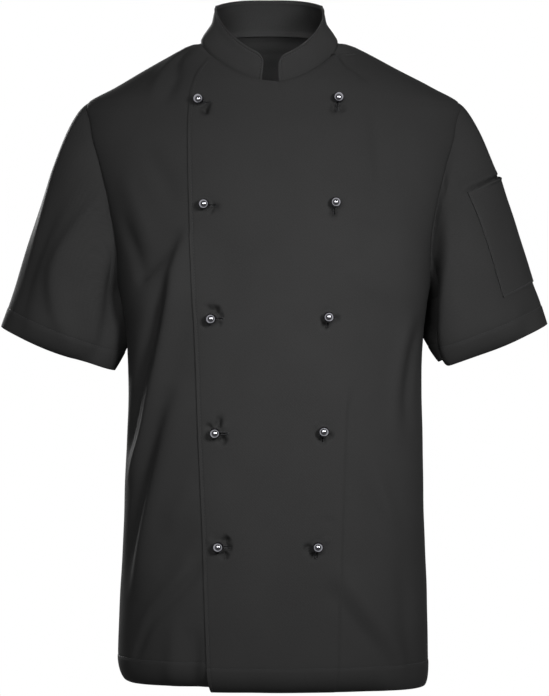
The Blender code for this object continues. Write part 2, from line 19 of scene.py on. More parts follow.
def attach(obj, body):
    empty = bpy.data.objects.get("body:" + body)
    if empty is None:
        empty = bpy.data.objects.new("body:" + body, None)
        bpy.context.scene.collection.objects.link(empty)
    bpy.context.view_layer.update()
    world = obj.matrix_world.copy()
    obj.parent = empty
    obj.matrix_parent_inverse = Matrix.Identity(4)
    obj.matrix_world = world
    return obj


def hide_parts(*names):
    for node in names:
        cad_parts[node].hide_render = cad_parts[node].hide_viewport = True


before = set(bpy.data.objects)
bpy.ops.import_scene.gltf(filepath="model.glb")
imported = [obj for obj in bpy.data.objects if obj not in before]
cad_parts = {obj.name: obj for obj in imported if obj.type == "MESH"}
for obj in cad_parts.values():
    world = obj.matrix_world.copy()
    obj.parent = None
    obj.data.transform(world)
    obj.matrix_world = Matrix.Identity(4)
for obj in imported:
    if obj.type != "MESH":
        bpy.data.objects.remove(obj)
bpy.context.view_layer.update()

MM = 0.001

# --- Sizes of the jacket, the same as those of the CAD part ---

HEM_Z = -768.0
UNDERLAP_HEM_LIFT = 6.0
BACK_HEM_LIFT = 3.0
SHOULDER_TIP_Z = -73.0
ARMPIT_Z = -310.0
FRONT_NECK_DROP = 54.0
BACK_NECK_RISE = 19.0
NECK_HALF_WIDTH = 82.5
FRONT_NECK_ROUND = 1.6
BACK_NECK_ROUND = 2.2

ARMHOLE_FRONT = 50.0
ARMHOLE_BACK = 54.0
ARMHOLE_EGG = 0.15

# The side of the body is pressed in under the arm
PIT_HALF_WIDTH = 152.0
PIT_FLARE_DOWN = 0.20
PIT_FLARE_UP = 1.2
PIT_ROUND = 0.024
PIT_BLEND = 6.0

Section = namedtuple("Section", "z half_width front back square lean")
BODY = (
    Section(24, 76, 42, 78, 2.3, -3.0),
    Section(10, 80, 45, 83, 2.3, -3.0),
    Section(0, 82.5, 48, 87, 2.3, -3.0),
    Section(-4, 97.5, 49, 89, 2.3, -2.0),
    Section(-10, 110, 51, 90.5, 2.2, -0.8),
    Section(-20, 128.5, 57, 94, 2.05, 0.5),
    Section(-40, 165, 73, 99.5, 1.85, 2.0),
    Section(-54, 190.5, 82, 103, 1.75, 2.8),
    Section(-73, 223.5, 89, 107, 1.72, 2.5),
    Section(-85, 231.5, 93, 110, 1.76, 2.2),
    Section(-110, 231.5, 101, 114, 1.9, 2.0),
    Section(-150, 222, 110, 118, 2.1, 2.0),
    Section(-200, 207, 117, 119.5, 2.3, 2.0),
    Section(-250, 194, 121, 118, 2.5, 2.5),
    Section(-310, 185, 122, 114, 2.8, 3.0),
    Section(-345, 179, 121, 111, 2.8, 4.0),
    Section(-400, 176.8, 119, 106, 2.6, 4.0),
    Section(-480, 178, 117.5, 103, 2.4, 3.4),
    Section(-560, 180, 117, 104, 2.4, 3.2),
    Section(-640, 183, 117, 108, 2.4, 2.6),
    Section(-720, 185.5, 118, 112, 2.4, 2.3),
    Section(-800, 188, 119, 115, 2.4, 2.0),
)

# Where the free front edges run, as a distance from the centre front
Edge = namedtuple("Edge", "z flap underlap")
FRONT_EDGES = (
    Edge(-20, 72, 72.2),
    Edge(-34, 84, 82),
    Edge(-50, 93, 92),
    Edge(-72, 98, 96),
    Edge(-110, 99, 96),
    Edge(-250, 96, 88),
    Edge(-400, 91, 82),
    Edge(-580, 83, 76),
    Edge(-790, 75, 71),
)
LAP_CORNER_Z = -20.0
LAP_STEP = 2.0  # how far the flap's outer face stands off the underlap's
LAP_EASE_START = 0.8
LAP_EASE_LENGTH = 6.0
LAP_EASE_HIGH = 22.0  # how much longer it eases from the chest up
LAP_EASE_UP = 12.0
LAP_HIGH_FROM = (-440.0, 60.0)  # where that longer ease sets in, and over what height
LAP_HIGH_UNTIL = (-64.0, 32.0)
FLATTER_FROM = -70.0  # above this height the free edge is pressed flat, up to the neck
FLATTER_OVER = 60.0

Stud = namedtuple("Stud", "side row x z")
STUDS = (
    Stud("right", 1, -84, -78),
    Stud("right", 2, -77, -200),
    Stud("right", 3, -69, -332),
    Stud("right", 4, -64, -465),
    Stud("right", 5, -60.5, -597),
    Stud("left", 1, 77, -76),
    Stud("left", 2, 73.5, -198),
    Stud("left", 3, 65.5, -330),
    Stud("left", 4, 59.5, -463),
    Stud("left", 5, 53, -597),
)
BALL_RADIUS = 6.3
BALL_LOW = 2.3
SHANK_RADIUS = 1.6
DISC_RADIUS = 7.5
DISC_THICK = 1.6
DISC_TOP = -2.6
BALL_FLAT_RADIUS = 2.4
SOFT_CORNER = 0.5  # how far the ball's underside and the disc's rim are cut back
DISC_BEVEL = 0.35

CUFF_X = 261.5
CUFF_Z = -363.0
CUFF_HALF_WIDTH = 73.5
CUFF_HALF_DEPTH = 61.0
CUFF_FRONT_DROP = 6.5
CUFF_TILT = 21.0
SLEEVE_LEAN = 3.0
RIGHT_CUFF_DROP = 3.0
OUTER_TILT = 19.5
UNDER_TILT = 34.0
CAP_TOP_TILT = 54.0
CAP_UNDER_TILT = 24.0
CAP_TOP_PULL = 0.45
CAP_FULLNESS = 0.22

COLLAR_ENDS = {1: 6.0, -1: 14.0}  # each front end's distance from the centre front
COLLAR_CORNER = 12.0
COLLAR_LEAN_SIDE = 0.21
COLLAR_LEAN_FRONT = 0.17
COLLAR_LEAN_BACK = 0.11
COLLAR_FOOT_SIDE = 9.0
COLLAR_FOOT_FRONT = 2.5
COLLAR_FOOT_HEIGHT = 25.0
CollarRise = namedtuple("CollarRise", "turn rise")
COLLAR_RISES = (
    CollarRise(0.0, 31),
    CollarRise(0.25, 36),
    CollarRise(0.5, 42),
    CollarRise(0.75, 42),
    CollarRise(1.0, 41),
)

# --- How the cloth is cut and sewn ---

CLOTH_THICK = 1.1
DOUBLE_THICK = 1.7  # where it is turned in, along hems and free edges
COLLAR_THICK = 2.3
ROLLED_EDGE = 0.45
EDGE_WEAR_AND_HIGHLIGHT = 1.6  # how far in from a fold the cloth is painted paler: rubbed wear, and a painted highlight of the folded edge
FACING_WIDTH = 26.0
HEM_DEPTH = 30.0
HEM_PROUD = 0.45
CUFF_HEM_DEPTH = 24.0
EDGE_STITCH = 3.6  # from a free edge to its topstitching
COLLAR_STITCH = 4.0
COLLAR_STITCH_DEPTH = -0.42
COLLAR_ROLL = 0.5
COLLAR_SLACK = 0.3
POCKET_STITCH = 2.2
HEM_CURL = 26.0  # how far the lowest edge turns in, and over what depth
HEM_CURL_DEPTH = 30.0
HEM_HELD = {1: 0.75, -1: 0.45}  # the share of the curl that each side seam holds back
HEM_HELD_FROM = 110.0
HEM_HELD_OVER = 65.0
CUFF_CURL = 25.0
CUFF_CURL_DEPTH = 38.0

# The pocket on the left sleeve: degrees forwards of its outer line, and distances from the cuff
POCKET_TURN = (-14.0, 64.0)
POCKET_UP = (54.0, 185.0)
POCKET_WIDTH = 80.0
POCKET_HEIGHT = 126.0
POCKET_OFF = 0.5
POCKET_THICK = 1.2
POCKET_GAPE = 2.8
POCKET_LIP = 3.6
POCKET_GAPE_FORWARD = 1.4  # over 1, the mouth gapes most towards the front

DEGREE_ROUND_SLEEVE = 1.25  # millimetres

# --- Grid spacing ---

CLOTH_STEP = 4.2
SHOULDER_STEP = 2.4
ARMHOLE_ROWS = 62
FRONT_NECK_ROWS = 26
BACK_NECK_ROWS = 16
OWN_COLUMNS = 68
LAP_COLUMNS = 20
BACK_COLUMNS = 66
# Columns of a front that comes down beyond the other's free edge: inside, across and outside it
EASED_COLUMNS = (20, 11, 45)
EASED_REACH = (-3.0, 11.0)
SEAM_LINES = (1.0, 2.2, 3.6, 5.5, 8.5)
FREE_EDGE_LINES = (0.4, 1.0, 1.8, 2.7, 3.2, 3.6, 4.0, 4.6, 6.0, 9.0)
HEM_LINES = (
    0.5, 1.2, 2.2, 4.0, 7.0, 11.0, 16.0, 21.0, 25.5, 28.2, 29.3, 30.0, 30.7, 31.8, 34.5
)
CUFF_LINES = (0, 0.5, 1.2, 2.2, 4.0, 8.0, 13.0, 18.0, 22.0, 23.3, 24.0, 24.7, 26.0)
CAP_LINES = (8.5, 5.5, 3.6, 2.2, 1.0, 0.0)
POCKET_LINES = (0, 0.5, 1.2, 2.2, 3.2, 4.2)
COLLAR_END_LINES = (0, 0.4, 1.0, 1.8, 2.8, 3.5, 4.0, 4.5, 5.5, 7.0, 9.0)
COLLAR_FOOT_LINES = (-3.2, -1.4, 0, 0.8, 1.8, 3.0, 5.0)
COLLAR_TOP_LINES = (6.0, 5.0, 4.4, 4.0, 3.6, 2.8, 1.8, 1.0, 0.4, 0)


def column(table, name):
    """A smooth function of the table's first column, through one named column."""
    rows = sorted(table, key=lambda row: row[0])
    at = np.array([row[0] for row in rows], float)
    value = np.array([getattr(row, name) for row in rows], float)
    step = np.diff(at)
    slope = np.diff(value) / step
    tangent = np.empty_like(value)
    tangent[0], tangent[-1] = slope[0], slope[-1]
    same_way = slope[:-1] * slope[1:] > 0
    safe = np.where(same_way, slope[:-1] + slope[1:], 1.0)
    tangent[1:-1] = np.where(same_way, 2 * slope[:-1] * slope[1:] / safe, 0.0)

    def through(x):
        x = np.clip(np.asarray(x, float), at[0], at[-1])
        i = np.clip(np.searchsorted(at, x, side="right") - 1, 0, len(step) - 1)
        h = step[i]
        t = (x - at[i]) / h
        start = (1 + 2 * t) * (1 - t) ** 2 * value[i] + t * (1 - t) ** 2 * h * tangent[i]
        end = t * t * (3 - 2 * t) * value[i + 1] + t * t * (t - 1) * h * tangent[i + 1]
        return start + end

    return through


half_width = column(BODY, "half_width")
front_depth = column(BODY, "front")
back_depth = column(BODY, "back")
square = column(BODY, "square")
lean = column(BODY, "lean")
flap_edge = column(FRONT_EDGES, "flap")
underlap_edge = column(FRONT_EDGES, "underlap")
collar_rise = column(COLLAR_RISES, "rise")


def smooth_step(t):
    t = np.clip(t, 0.0, 1.0)
    return t * t * (3 - 2 * t)


def unit(v):
    return v / np.maximum(np.linalg.norm(v, axis=-1, keepdims=True), 1e-9)


def lengths_along(path):
    """How far along a path each of its points lies."""
    steps = np.linalg.norm(np.diff(path, axis=0), axis=1)
    return np.concatenate([[0], np.cumsum(steps)])


def at_lengths(stops, along, path):
    """The points of a path at the distances stops along it."""
    return np.stack([np.interp(stops, along, path[:, i]) for i in range(3)], -1)


def mirrored(points, z, side):
    """Points that are given on the wearer's left, on that side (1) or on the right (-1)."""
    points = points.copy()
    points[..., 0] = lean(z) + side * (points[..., 0] - lean(z))
    return points


# --- The form of the body ---


def body_point(turn, z):
    """A point of the body. turn is an angle: 0 at the centre front, a right angle at the side
    seam and two at the centre back, positive towards the wearer's left."""
    turn, z = np.broadcast_arrays(np.asarray(turn, float), np.asarray(z, float))
    power = 2 / square(z)
    across = np.abs(np.sin(turn)) ** power * half_width(z)
    ahead = np.cos(turn)
    depth = np.where(ahead > 0, -front_depth(z), back_depth(z))
    y = depth * np.abs(ahead) ** power
    below = np.maximum(ARMPIT_Z - z, 0) * PIT_FLARE_DOWN
    above = np.maximum(z - ARMPIT_Z, 0) * PIT_FLARE_UP
    pressed = PIT_HALF_WIDTH + below + above + PIT_ROUND * y * y
    nearer = np.minimum(across, pressed)
    gap = np.abs(across - pressed) / PIT_BLEND
    across = nearer - PIT_BLEND * np.log1p(np.exp(-gap))
    return np.stack([lean(z) + np.sign(np.sin(turn)) * across, y, z], axis=-1)


def body_normal(turn, z):
    """The outward normal of the body there."""
    d_turn, d_z = 2e-3, 0.5
    round_it = body_point(turn + d_turn, z) - body_point(turn - d_turn, z)
    up = body_point(turn, z + d_z) - body_point(turn, z - d_z)
    return unit(np.cross(round_it, up))


def turn_at_x(x, z):
    """The turn of a point of the front that lies x off the section's middle."""
    share = np.clip(np.abs(x) / half_width(z), 0, 1)
    return np.sign(x) * np.arcsin(share ** (square(z) / 2))


def turn_at_y(y, z):
    """The turn, on the wearer's left, of a point that lies y behind the side seam."""
    depth = np.where(y < 0, front_depth(z), back_depth(z))
    share = np.clip(np.abs(y) / depth, 0, 1) ** (square(z) / 2)
    return math.pi / 2 + np.sign(y) * np.arcsin(share)


def armhole(angle):
    """(turn, z) on the left armhole. The angle is 0 at the shoulder tip, a right angle at the
    front, two at the armpit, and negative along the back."""
    z = ARMPIT_Z + (SHOULDER_TIP_Z - ARMPIT_Z) * (1 + np.cos(angle)) / 2
    reach = np.where(np.sin(angle) > 0, -ARMHOLE_FRONT, ARMHOLE_BACK)
    y = reach * np.abs(np.sin(angle)) * (1 - ARMHOLE_EGG * np.cos(angle))
    return turn_at_y(y, z), z


def armhole_angle(z):
    """The angle along the front of the armhole at one height."""
    share = 2 * (z - ARMPIT_Z) / (SHOULDER_TIP_Z - ARMPIT_Z) - 1
    return math.acos(min(1.0, max(-1.0, share)))


def front_neck(share):
    """(turn, z) on the left half of the front neckline, from the centre to the shoulder."""
    power = 2 / FRONT_NECK_ROUND
    angle = share * math.pi / 2
    z = -FRONT_NECK_DROP * np.maximum(np.cos(angle), 0) ** power
    return turn_at_x(NECK_HALF_WIDTH * np.sin(angle) ** power, z), z


def front_neck_share(z):
    """How far along the front neckline it has a height."""
    return math.acos(min(1.0, (-z / FRONT_NECK_DROP) ** (FRONT_NECK_ROUND / 2))) / (math.pi / 2)


def back_neck(share):
    """(turn, z) on the left half of the back neckline, from the shoulder to the centre."""
    angle = share * math.pi / 2
    z = BACK_NECK_RISE * np.sin(angle)
    x = NECK_HALF_WIDTH * np.maximum(np.cos(angle), 0) ** (2 / BACK_NECK_ROUND)
    return math.pi - turn_at_x(x, z), z


def on_front(x, z):
    """(turn, z) of a place on the front, x across from the jacket's origin."""
    return turn_at_x(x - lean(z), z), z


def on_back(x, z):
    """(turn, z) of a place on the back, x across from the jacket's origin."""
    turn = turn_at_x(x - lean(z), z)
    return np.where(turn >= 0, math.pi - turn, -math.pi - turn), z


# --- Rows of a panel: heights, and the turns along each ---


def rising(start, end, step):
    """Evenly spaced heights after start, up to end."""
    return np.linspace(start, end, max(1, round((end - start) / step)) + 1)[1:]


def row_turns(z, start, end, count, near_start=(), near_end=()):
    """Turns from start to end at one height. They are evenly spaced along the cloth, with more
    at the distances near_start and near_end from its ends, where a seam or an edge runs."""
    fine = np.linspace(start, end, 240)
    along = lengths_along(body_point(fine, z))
    total = along[-1]
    if total < 1e-6:
        return np.full(count + 1 + len(near_start) + len(near_end), start)
    most = 1.25 * (max(near_start, default=0) + max(near_end, default=0)) + 1
    squeeze = min(1.0, total / most)
    low = np.array([0, *near_start]) * squeeze
    high = total - np.array([0, *near_end])[::-1] * squeeze
    middle = np.linspace(low[-1], high[0], count + 1)[1:-1]
    return np.interp(np.concatenate([low, middle, high]), along, fine)


def heights(hem_lift):
    """(height, turn where a front's row starts, where it ends, where a back's row ends) of every
    row up to the shoulder seam's neck end."""
    side = math.pi / 2
    hem = HEM_Z + hem_lift
    above_hem = hem + HEM_LINES[-1]
    rows = [(z, 0.0, side, side) for z in (hem, *(hem + np.array(HEM_LINES)))]
    rows += [(z, 0.0, side, side) for z in rising(above_hem, ARMPIT_Z, CLOTH_STEP)]
    share = np.linspace(0, 1, ARMHOLE_ROWS + 1)[1:]
    # Close together at both ends of the armhole, where it turns level.
    share = 0.3 * share + 0.7 * (1 - np.cos(share * math.pi)) / 2
    for z in ARMPIT_Z + (SHOULDER_TIP_Z - ARMPIT_Z) * share:
        angle = armhole_angle(z)
        rows.append((z, 0.0, float(armhole(angle)[0]), float(armhole(-angle)[0])))
    rows += [(z, 0.0, side, side) for z in rising(SHOULDER_TIP_Z, -FRONT_NECK_DROP, SHOULDER_STEP)]
    # Close together where the front neckline lies level
    for z in -FRONT_NECK_DROP * (1 - np.linspace(0, 1, FRONT_NECK_ROWS + 1)[1:] ** 1.5):
        rows.append((z, float(front_neck(front_neck_share(z))[0]), side, side))
    return rows


def edge_turn(edge, z, start, end, past=0.0):
    """The turn of a front edge, kept a little inside the row near the top of the neckline."""
    if z > LAP_CORNER_Z:
        return start + (end - start) * (0.2 + 0.01 * past)
    return float(turn_at_x(edge(z) + past, z))


def own_rows(hem_lift, eased_edge):
    """Rows of a front's own half. With an eased edge, its columns are closer together where the
    cloth comes down beyond that edge."""
    rows = []
    for z, start, end, _ in heights(hem_lift):
        if eased_edge is None:
            turns = row_turns(z, start, end, OWN_COLUMNS, SEAM_LINES, SEAM_LINES)
        else:
            inner, outer = (edge_turn(eased_edge, z, start, end, past) for past in EASED_REACH)
            inside, across, outside = EASED_COLUMNS
            turns = np.concatenate([
                row_turns(z, start, inner, inside, SEAM_LINES, ()),
                row_turns(z, inner, outer, across)[1:],
                row_turns(z, outer, end, outside, (), SEAM_LINES)[1:],
            ])
        rows.append((z, turns))
    return rows


def lap_rows(edge, hem_lift):
    """From the centre front across to a free front edge, with the neckline above."""
    rows = []
    for z, start, end, _ in heights(hem_lift):
        if z > LAP_CORNER_Z - 0.05:
            break
        stop = edge_turn(edge, z, start, end)
        rows.append((z, row_turns(z, start, stop, LAP_COLUMNS, SEAM_LINES, FREE_EDGE_LINES)))
    corner = float(turn_at_x(edge(LAP_CORNER_Z), LAP_CORNER_Z))
    rows.append((LAP_CORNER_Z, np.full(len(rows[-1][1]), corner)))
    return rows


def back_rows():
    """Rows of half of the back, from its middle out to the side seam, armhole and neckline."""
    ends = [(z, end) for z, _, _, end in heights(BACK_HEM_LIFT)]
    for share in np.linspace(0, 1, BACK_NECK_ROWS + 1)[1:]:
        turn, z = back_neck(share)
        ends.append((float(z), float(turn)))
    return [(z, row_turns(z, math.pi, end, BACK_COLUMNS, (), SEAM_LINES)) for z, end in ends]


# --- Open cloth: points, outward normals, faces and lengths along it ---


class Cloth:
    """An open surface in millimetres. doubled is 1 where the cloth is turned in and so two layers
    thick, and the edge value is 1 along folded edges, where the cloth is painted paler, partly as
    rubbed wear and partly as a painted highlight."""

    def __init__(self):
        self.points = np.zeros((0, 3))
        self.normals = np.zeros((0, 3))
        self.lengths = np.zeros((0, 2))
        self.doubled = np.zeros(0)
        self.edge_wear_and_highlight = np.zeros(0)
        self.faces = []

    def add_grid(self, points, normals, doubled=0.0, edge_wear_and_highlight=0.0, closed=False):
        """Everything is rows by columns. Rows run up, and columns to the viewer's right when the
        normals face the viewer."""
        rows, columns = points.shape[:2]
        first = len(self.points)
        level = np.linalg.norm(np.diff(points, axis=1), axis=2).cumsum(axis=1)
        level = np.concatenate([np.zeros((rows, 1)), level], axis=1)
        # Lengths across start at the column nearest the middle of the jacket.
        middle = 0 if abs(points[0, 0, 0]) < abs(points[0, -1, 0]) else columns - 1
        level -= level[:, [middle]]
        rise = np.linalg.norm(np.diff(points, axis=0), axis=2).cumsum(axis=0)
        rise = np.concatenate([np.zeros((1, columns)), rise], axis=0)
        shape = (rows, columns)
        self.points = np.concatenate([self.points, points.reshape(-1, 3)])
        self.normals = np.concatenate([self.normals, normals.reshape(-1, 3)])
        lengths = np.stack([level, rise], -1).reshape(-1, 2)
        self.lengths = np.concatenate([self.lengths, lengths])
        self.doubled = np.concatenate([self.doubled, np.broadcast_to(doubled, shape).ravel()])
        self.edge_wear_and_highlight = np.concatenate([self.edge_wear_and_highlight, np.broadcast_to(edge_wear_and_highlight, shape).ravel()])
        last = columns if closed else columns - 1
        for r in range(rows - 1):
            low, high = first + r * columns, first + (r + 1) * columns
            for c in range(last):
                right = (c + 1) % columns
                self.faces.append((low + c, low + right, high + right, high + c))


def body_grid(rows, side):
    """Points and normals of a half panel. side is 1 for the wearer's left, -1 for the right."""
    points, normals = [], []
    for z, turns in rows:
        points.append(mirrored(body_point(turns, z), z, side))
        normals.append(body_normal(turns, z) * np.array([side, 1, 1]))
    points, normals = np.array(points), np.array(normals)
    outward = np.cross(points[0, 1] - points[0, 0], points[1, 0] - points[0, 0])
    if outward @ normals[0, 0] < 0:
        points, normals = points[:, ::-1], normals[:, ::-1]
    return points, normals


def grid_normals(points, closed=False):
    """Normals of a grid, which face the viewer when rows run up and columns to the right."""
    up = np.gradient(points, axis=0)
    if closed:
        rightward = np.roll(points, -1, axis=1) - np.roll(points, 1, axis=1)
    else:
        rightward = np.gradient(points, axis=1)
    return unit(np.cross(rightward, up))


# --- Folds, seams and edges: soft ridges and troughs along a path on the cloth ---

# A path is drawn as seen from its own side of the jacket, from the top down, as (x, z, height):
# the height is over the cloth's plain form, and is negative in a trough. left and right are how
# far the fold slopes away on each side of the path, in millimetres.
Fold = namedtuple("Fold", "left right path")

RIGHT_FRONT_FOLDS = (
    # The long ridge from the chest down to the side
    Fold(7, 15, ((-94, -222, 0), (-102, -242, 3.5), (-109, -261, 5.8), (-116, -290, 7.4),
                 (-125, -347, 8), (-139, -413, 7.4), (-151, -464, 6.4), (-163, -500, 4.2),
                 (-172, -530, 0))),
    # The troughs beside it, towards the arm
    Fold(13, 9, ((-106, -228, 0), (-118, -247, -3.0), (-134, -265, -4.4), (-147, -278, -3.6),
                 (-158, -290, 0))),
    Fold(12, 8, ((-122, -280, 0), (-131, -312, -5.8), (-139, -345, -7), (-150, -385, -7.7),
                 (-160, -430, -6.7), (-168, -470, -4.8), (-174, -505, 0))),
    # The second ridge, and the hollow that runs between the two
    Fold(13, 22, ((-100, -400, 0), (-108, -425, 2.9), (-118, -452, 4.8), (-128, -492, 5.4),
                  (-139, -536, 5.4), (-149, -577, 4.8), (-157, -617, 3.5), (-166, -665, 0))),
    Fold(16, 12, ((-118, -410, 0), (-134, -458, -3.5), (-148, -508, -5.4), (-158, -560, -5.4),
                  (-166, -610, -3.8), (-172, -660, 0))),
    Fold(14, 14, ((-86, -520, 0), (-98, -540, 2.1), (-112, -560, 2.4), (-122, -584, 0))),
    Fold(12, 14, ((-88, -566, 0), (-104, -590, -1.6), (-120, -612, -1.9), (-134, -640, 0))),
    # The narrow trough that drags from the lowest stud towards the side
    Fold(6, 7, ((-80, -612, 0), (-90, -628, -2.9), (-101, -641, -3.8), (-122, -663, -3.5),
                (-140, -684, -2.9), (-154, -714, -2.6), (-164, -744, 0))),
    Fold(9, 12, ((-92, -606, 0), (-108, -634, 2.2), (-126, -656, 2.9), (-146, -682, 2.4),
                 (-160, -712, 0))),
    # Hollows beside the edge near the hem
    Fold(12, 8, ((-90, -690, 0), (-88, -712, -2.9), (-90, -735, -4.2), (-92, -768, -3.5))),
    Fold(10, 12, ((-110, -676, 0), (-114, -705, 1.9), (-118, -740, 2.6), (-120, -768, 2.6))),
    # Drags below the collar and across the shoulder
    Fold(7, 8, ((-90, -3, 0), (-102, -12, -2.6), (-113, -27, -3.8), (-112, -44, -2.6),
                (-119, -62, -2.6), (-124, -80, 0))),
    Fold(9, 9, ((-100, -8, 0), (-122, -30, 1.9), (-136, -54, 2.2), (-142, -84, 0))),
    Fold(14, 14, ((-150, -120, 0), (-138, -150, -1.9), (-122, -178, -2.4), (-108, -204, 0))),
    Fold(14, 12, ((-176, -150, 0), (-164, -186, 2.2), (-150, -222, 2.9), (-140, -256, 0))),
    Fold(10, 10, ((-178, -205, 0), (-166, -236, -2.6), (-156, -262, -2.9), (-150, -300, 0))),
)

LEFT_FRONT_FOLDS = (
    # The broad ridge from the lowest stud to the side, and the trough under it
    Fold(16, 12, ((66, -606, 0), (82, -630, 3.1), (100, -652, 4.8), (118, -678, 5.1),
                  (140, -709, 4.4), (160, -742, 2.4), (170, -768, 0.7))),
    Fold(11, 13, ((60, -640, 0), (76, -658, -2.7), (103, -692, -4.1), (126, -720, -3.7),
                  (142, -748, -2.7), (150, -768, -1.7))),
    Fold(12, 10, ((118, -490, 0), (126, -522, 2.5), (137, -554, 3.2), (150, -584, 0))),
    Fold(10, 12, ((106, -512, 0), (114, -540, -1.9), (124, -566, -2.4), (138, -592, 0))),
    Fold(4, 4, ((54, -563, 0), (62, -566, -1.2), (70, -568, -1.2), (78, -568, 0))),
    # Drags from under the arm
    Fold(10, 13, ((168, -318, 0), (156, -352, 3.1), (148, -396, 3.7), (144, -440, 2.7),
                  (146, -484, 0))),
    Fold(12, 10, ((176, -334, 0), (166, -372, -3.4), (160, -420, -3.7), (160, -470, 0))),
    Fold(12, 12, ((96, -214, 0), (110, -228, -1.7), (132, -240, -2), (152, -262, 0))),
    Fold(12, 12, ((84, -262, 0), (100, -282, 1.5), (122, -296, 1.9), (150, -306, 0))),
    # Drags below the collar
    Fold(7, 7, ((86, -2, 0), (84, -14, -1.4), (88, -30, -1.4), (92, -52, 0))),
    Fold(7, 9, ((92, -8, 0), (94, -24, 0.9), (97, -46, 1.1), (100, -74, 0))),
    Fold(9, 10, ((118, -84, 0), (122, -118, -2), (126, -150, -2.4), (128, -190, 0))),
    Fold(3, 3, ((7, -52, -1), (8, -58, -1.5), (9, -66, 0))),
    Fold(14, 16, ((150, -600, 0), (156, -650, -2.7), (160, -700, -3.1), (166, -768, -1.7))),
)

BOTH_FRONTS_FOLDS = (
    # Faint slack between the two rows of studs
    Fold(20, 20, ((-56, -230, 0), (-52, -262, -1.2), (-50, -300, -1.4), (-55, -336, 0))),
    Fold(16, 18, ((-52, -350, 0), (-50, -385, -1.4), (-48, -420, -1.5), (-54, -452, 0))),
    Fold(18, 18, ((-48, -480, 0), (-42, -510, -1.2), (-44, -548, -1.2), (-50, -580, 0))),
    Fold(26, 26, ((-30, -120, 0), (-10, -150, 1.2), (18, -170, 1.2), (48, -186, 0))),
    Fold(24, 24, ((40, -540, 0), (14, -572, -1.2), (-6, -610, -1.4), (-16, -660, 0))),
    Fold(22, 24, ((36, -600, 0), (20, -650, 1.2), (12, -700, 1.7), (10, -768, 1.2))),
    Fold(18, 20, ((-30, -690, 0), (-28, -730, -1.4), (-26, -768, -2.1))),
)

BACK_FOLDS = (
    # Drags over the shoulder blades, from the armholes inwards
    Fold(14, 18, ((-176, -150, 0), (-150, -190, 3), (-128, -236, 3.9), (-116, -290, 3.3),
                  (-108, -350, 0))),
    Fold(12, 14, ((-184, -190, 0), (-166, -226, -3.6), (-152, -268, -4.5), (-142, -320, -3.3),
                  (-136, -372, 0))),
    Fold(16, 14, ((170, -140, 0), (150, -178, 2.7), (134, -222, 3.6), (124, -280, 3.3),
                  (120, -352, 0))),
    Fold(14, 12, ((184, -204, 0), (168, -240, -3.9), (156, -290, -4.5), (150, -344, -3),
                  (148, -398, 0))),
    # Soft lengthwise folds in the fullness of the waist
    Fold(18, 22, ((-62, -300, 0), (-66, -360, 3.3), (-64, -440, 4.8), (-70, -540, 4.2),
                  (-78, -640, 2.7), (-84, -730, 0.9), (-86, -768, 0.4))),
    Fold(18, 16, ((-98, -340, 0), (-100, -420, -3.9), (-104, -510, -5.1), (-112, -610, -3.9),
                  (-120, -700, -2.4), (-124, -768, -1.5))),
    Fold(20, 18, ((54, -320, 0), (60, -400, 3.9), (58, -490, 4.8), (64, -590, 3.9),
                  (72, -690, 2.7), (78, -768, 2.1))),
    Fold(16, 20, ((92, -350, 0), (96, -430, -3.6), (98, -520, -4.8), (108, -620, -4.2),
                  (116, -720, -2.7), (120, -768, -1.8))),
    Fold(24, 22, ((-6, -250, 0), (-4, -330, -2.7), (-8, -430, -3.9), (-4, -540, -3.3),
                  (0, -650, -2.1), (4, -768, -1.2))),
    # Long drags down the sides
    Fold(12, 16, ((-160, -360, 0), (-152, -430, 3.6), (-148, -510, 4.5), (-152, -600, 3.3),
                  (-158, -690, 0))),
    Fold(16, 12, ((160, -350, 0), (150, -440, 4.2), (146, -530, 4.8), (150, -630, 3.3),
                  (158, -720, 0))),
    # Creases below the back of the neck
    Fold(10, 14, ((-70, -14, 0), (-34, -30, -1.8), (6, -34, -2.2), (44, -26, -1.8), (76, -8, 0))),
    Fold(14, 18, ((-96, -40, 0), (-50, -62, 1.7), (-4, -68, 2.1), (46, -60, 1.8), (92, -36, 0))),
    Fold(9, 8, ((-112, -30, 0), (-128, -60, -2.4), (-138, -100, -2.7), (-140, -150, 0))),
    Fold(8, 9, ((110, -26, 0), (126, -58, -2.1), (138, -96, -2.7), (144, -140, 0))),
)

# On a sleeve a path is (degrees forwards of the outer line, distance from the cuff, height)
RIGHT_SLEEVE_FOLDS = (
    # The long ridge down its front, and the hollows on both sides of it
    Fold(9, 20, ((88, 208, 0), (80, 178, 3.0), (72, 150, 5.0), (64, 108, 6.2), (65, 78, 6.0),
                 (76, 48, 4.4), (92, 24, 1.4))),
    Fold(20, 12, ((60, 216, 0), (50, 170, -2.4), (42, 124, -4.4), (38, 80, -4.6), (40, 40, -3.0),
                  (44, 6, -1.6))),
    Fold(12, 14, ((118, 196, 0), (126, 160, -3.4), (132, 118, -4.6), (134, 76, -4.2),
                  (132, 40, -4.6), (128, 6, -5.0))),
    Fold(11, 11, ((150, 120, 0), (156, 84, 3.4), (152, 48, 3.0), (148, 14, 0))),
    Fold(12, 10, ((92, 66, 0), (104, 44, -3.0), (112, 22, -4.4), (116, 2, -4.4))),
    Fold(15, 15, ((8, 190, 0), (10, 140, -2.4), (14, 92, -3.0), (16, 46, -1.8), (16, 10, 0))),
    Fold(16, 18, ((-50, 210, 0), (-58, 160, 3.2), (-62, 104, 4.4), (-60, 50, 2.6), (-56, 6, 0.8))),
    Fold(14, 16, ((-92, 190, 0), (-98, 140, -3.4), (-100, 90, -4.6), (-98, 40, -2.6), (-96, 4, 0))),
    Fold(14, 14, ((-130, 130, 0), (-132, 90, 3.0), (-128, 46, 2.4), (-124, 6, 0.8))),
)
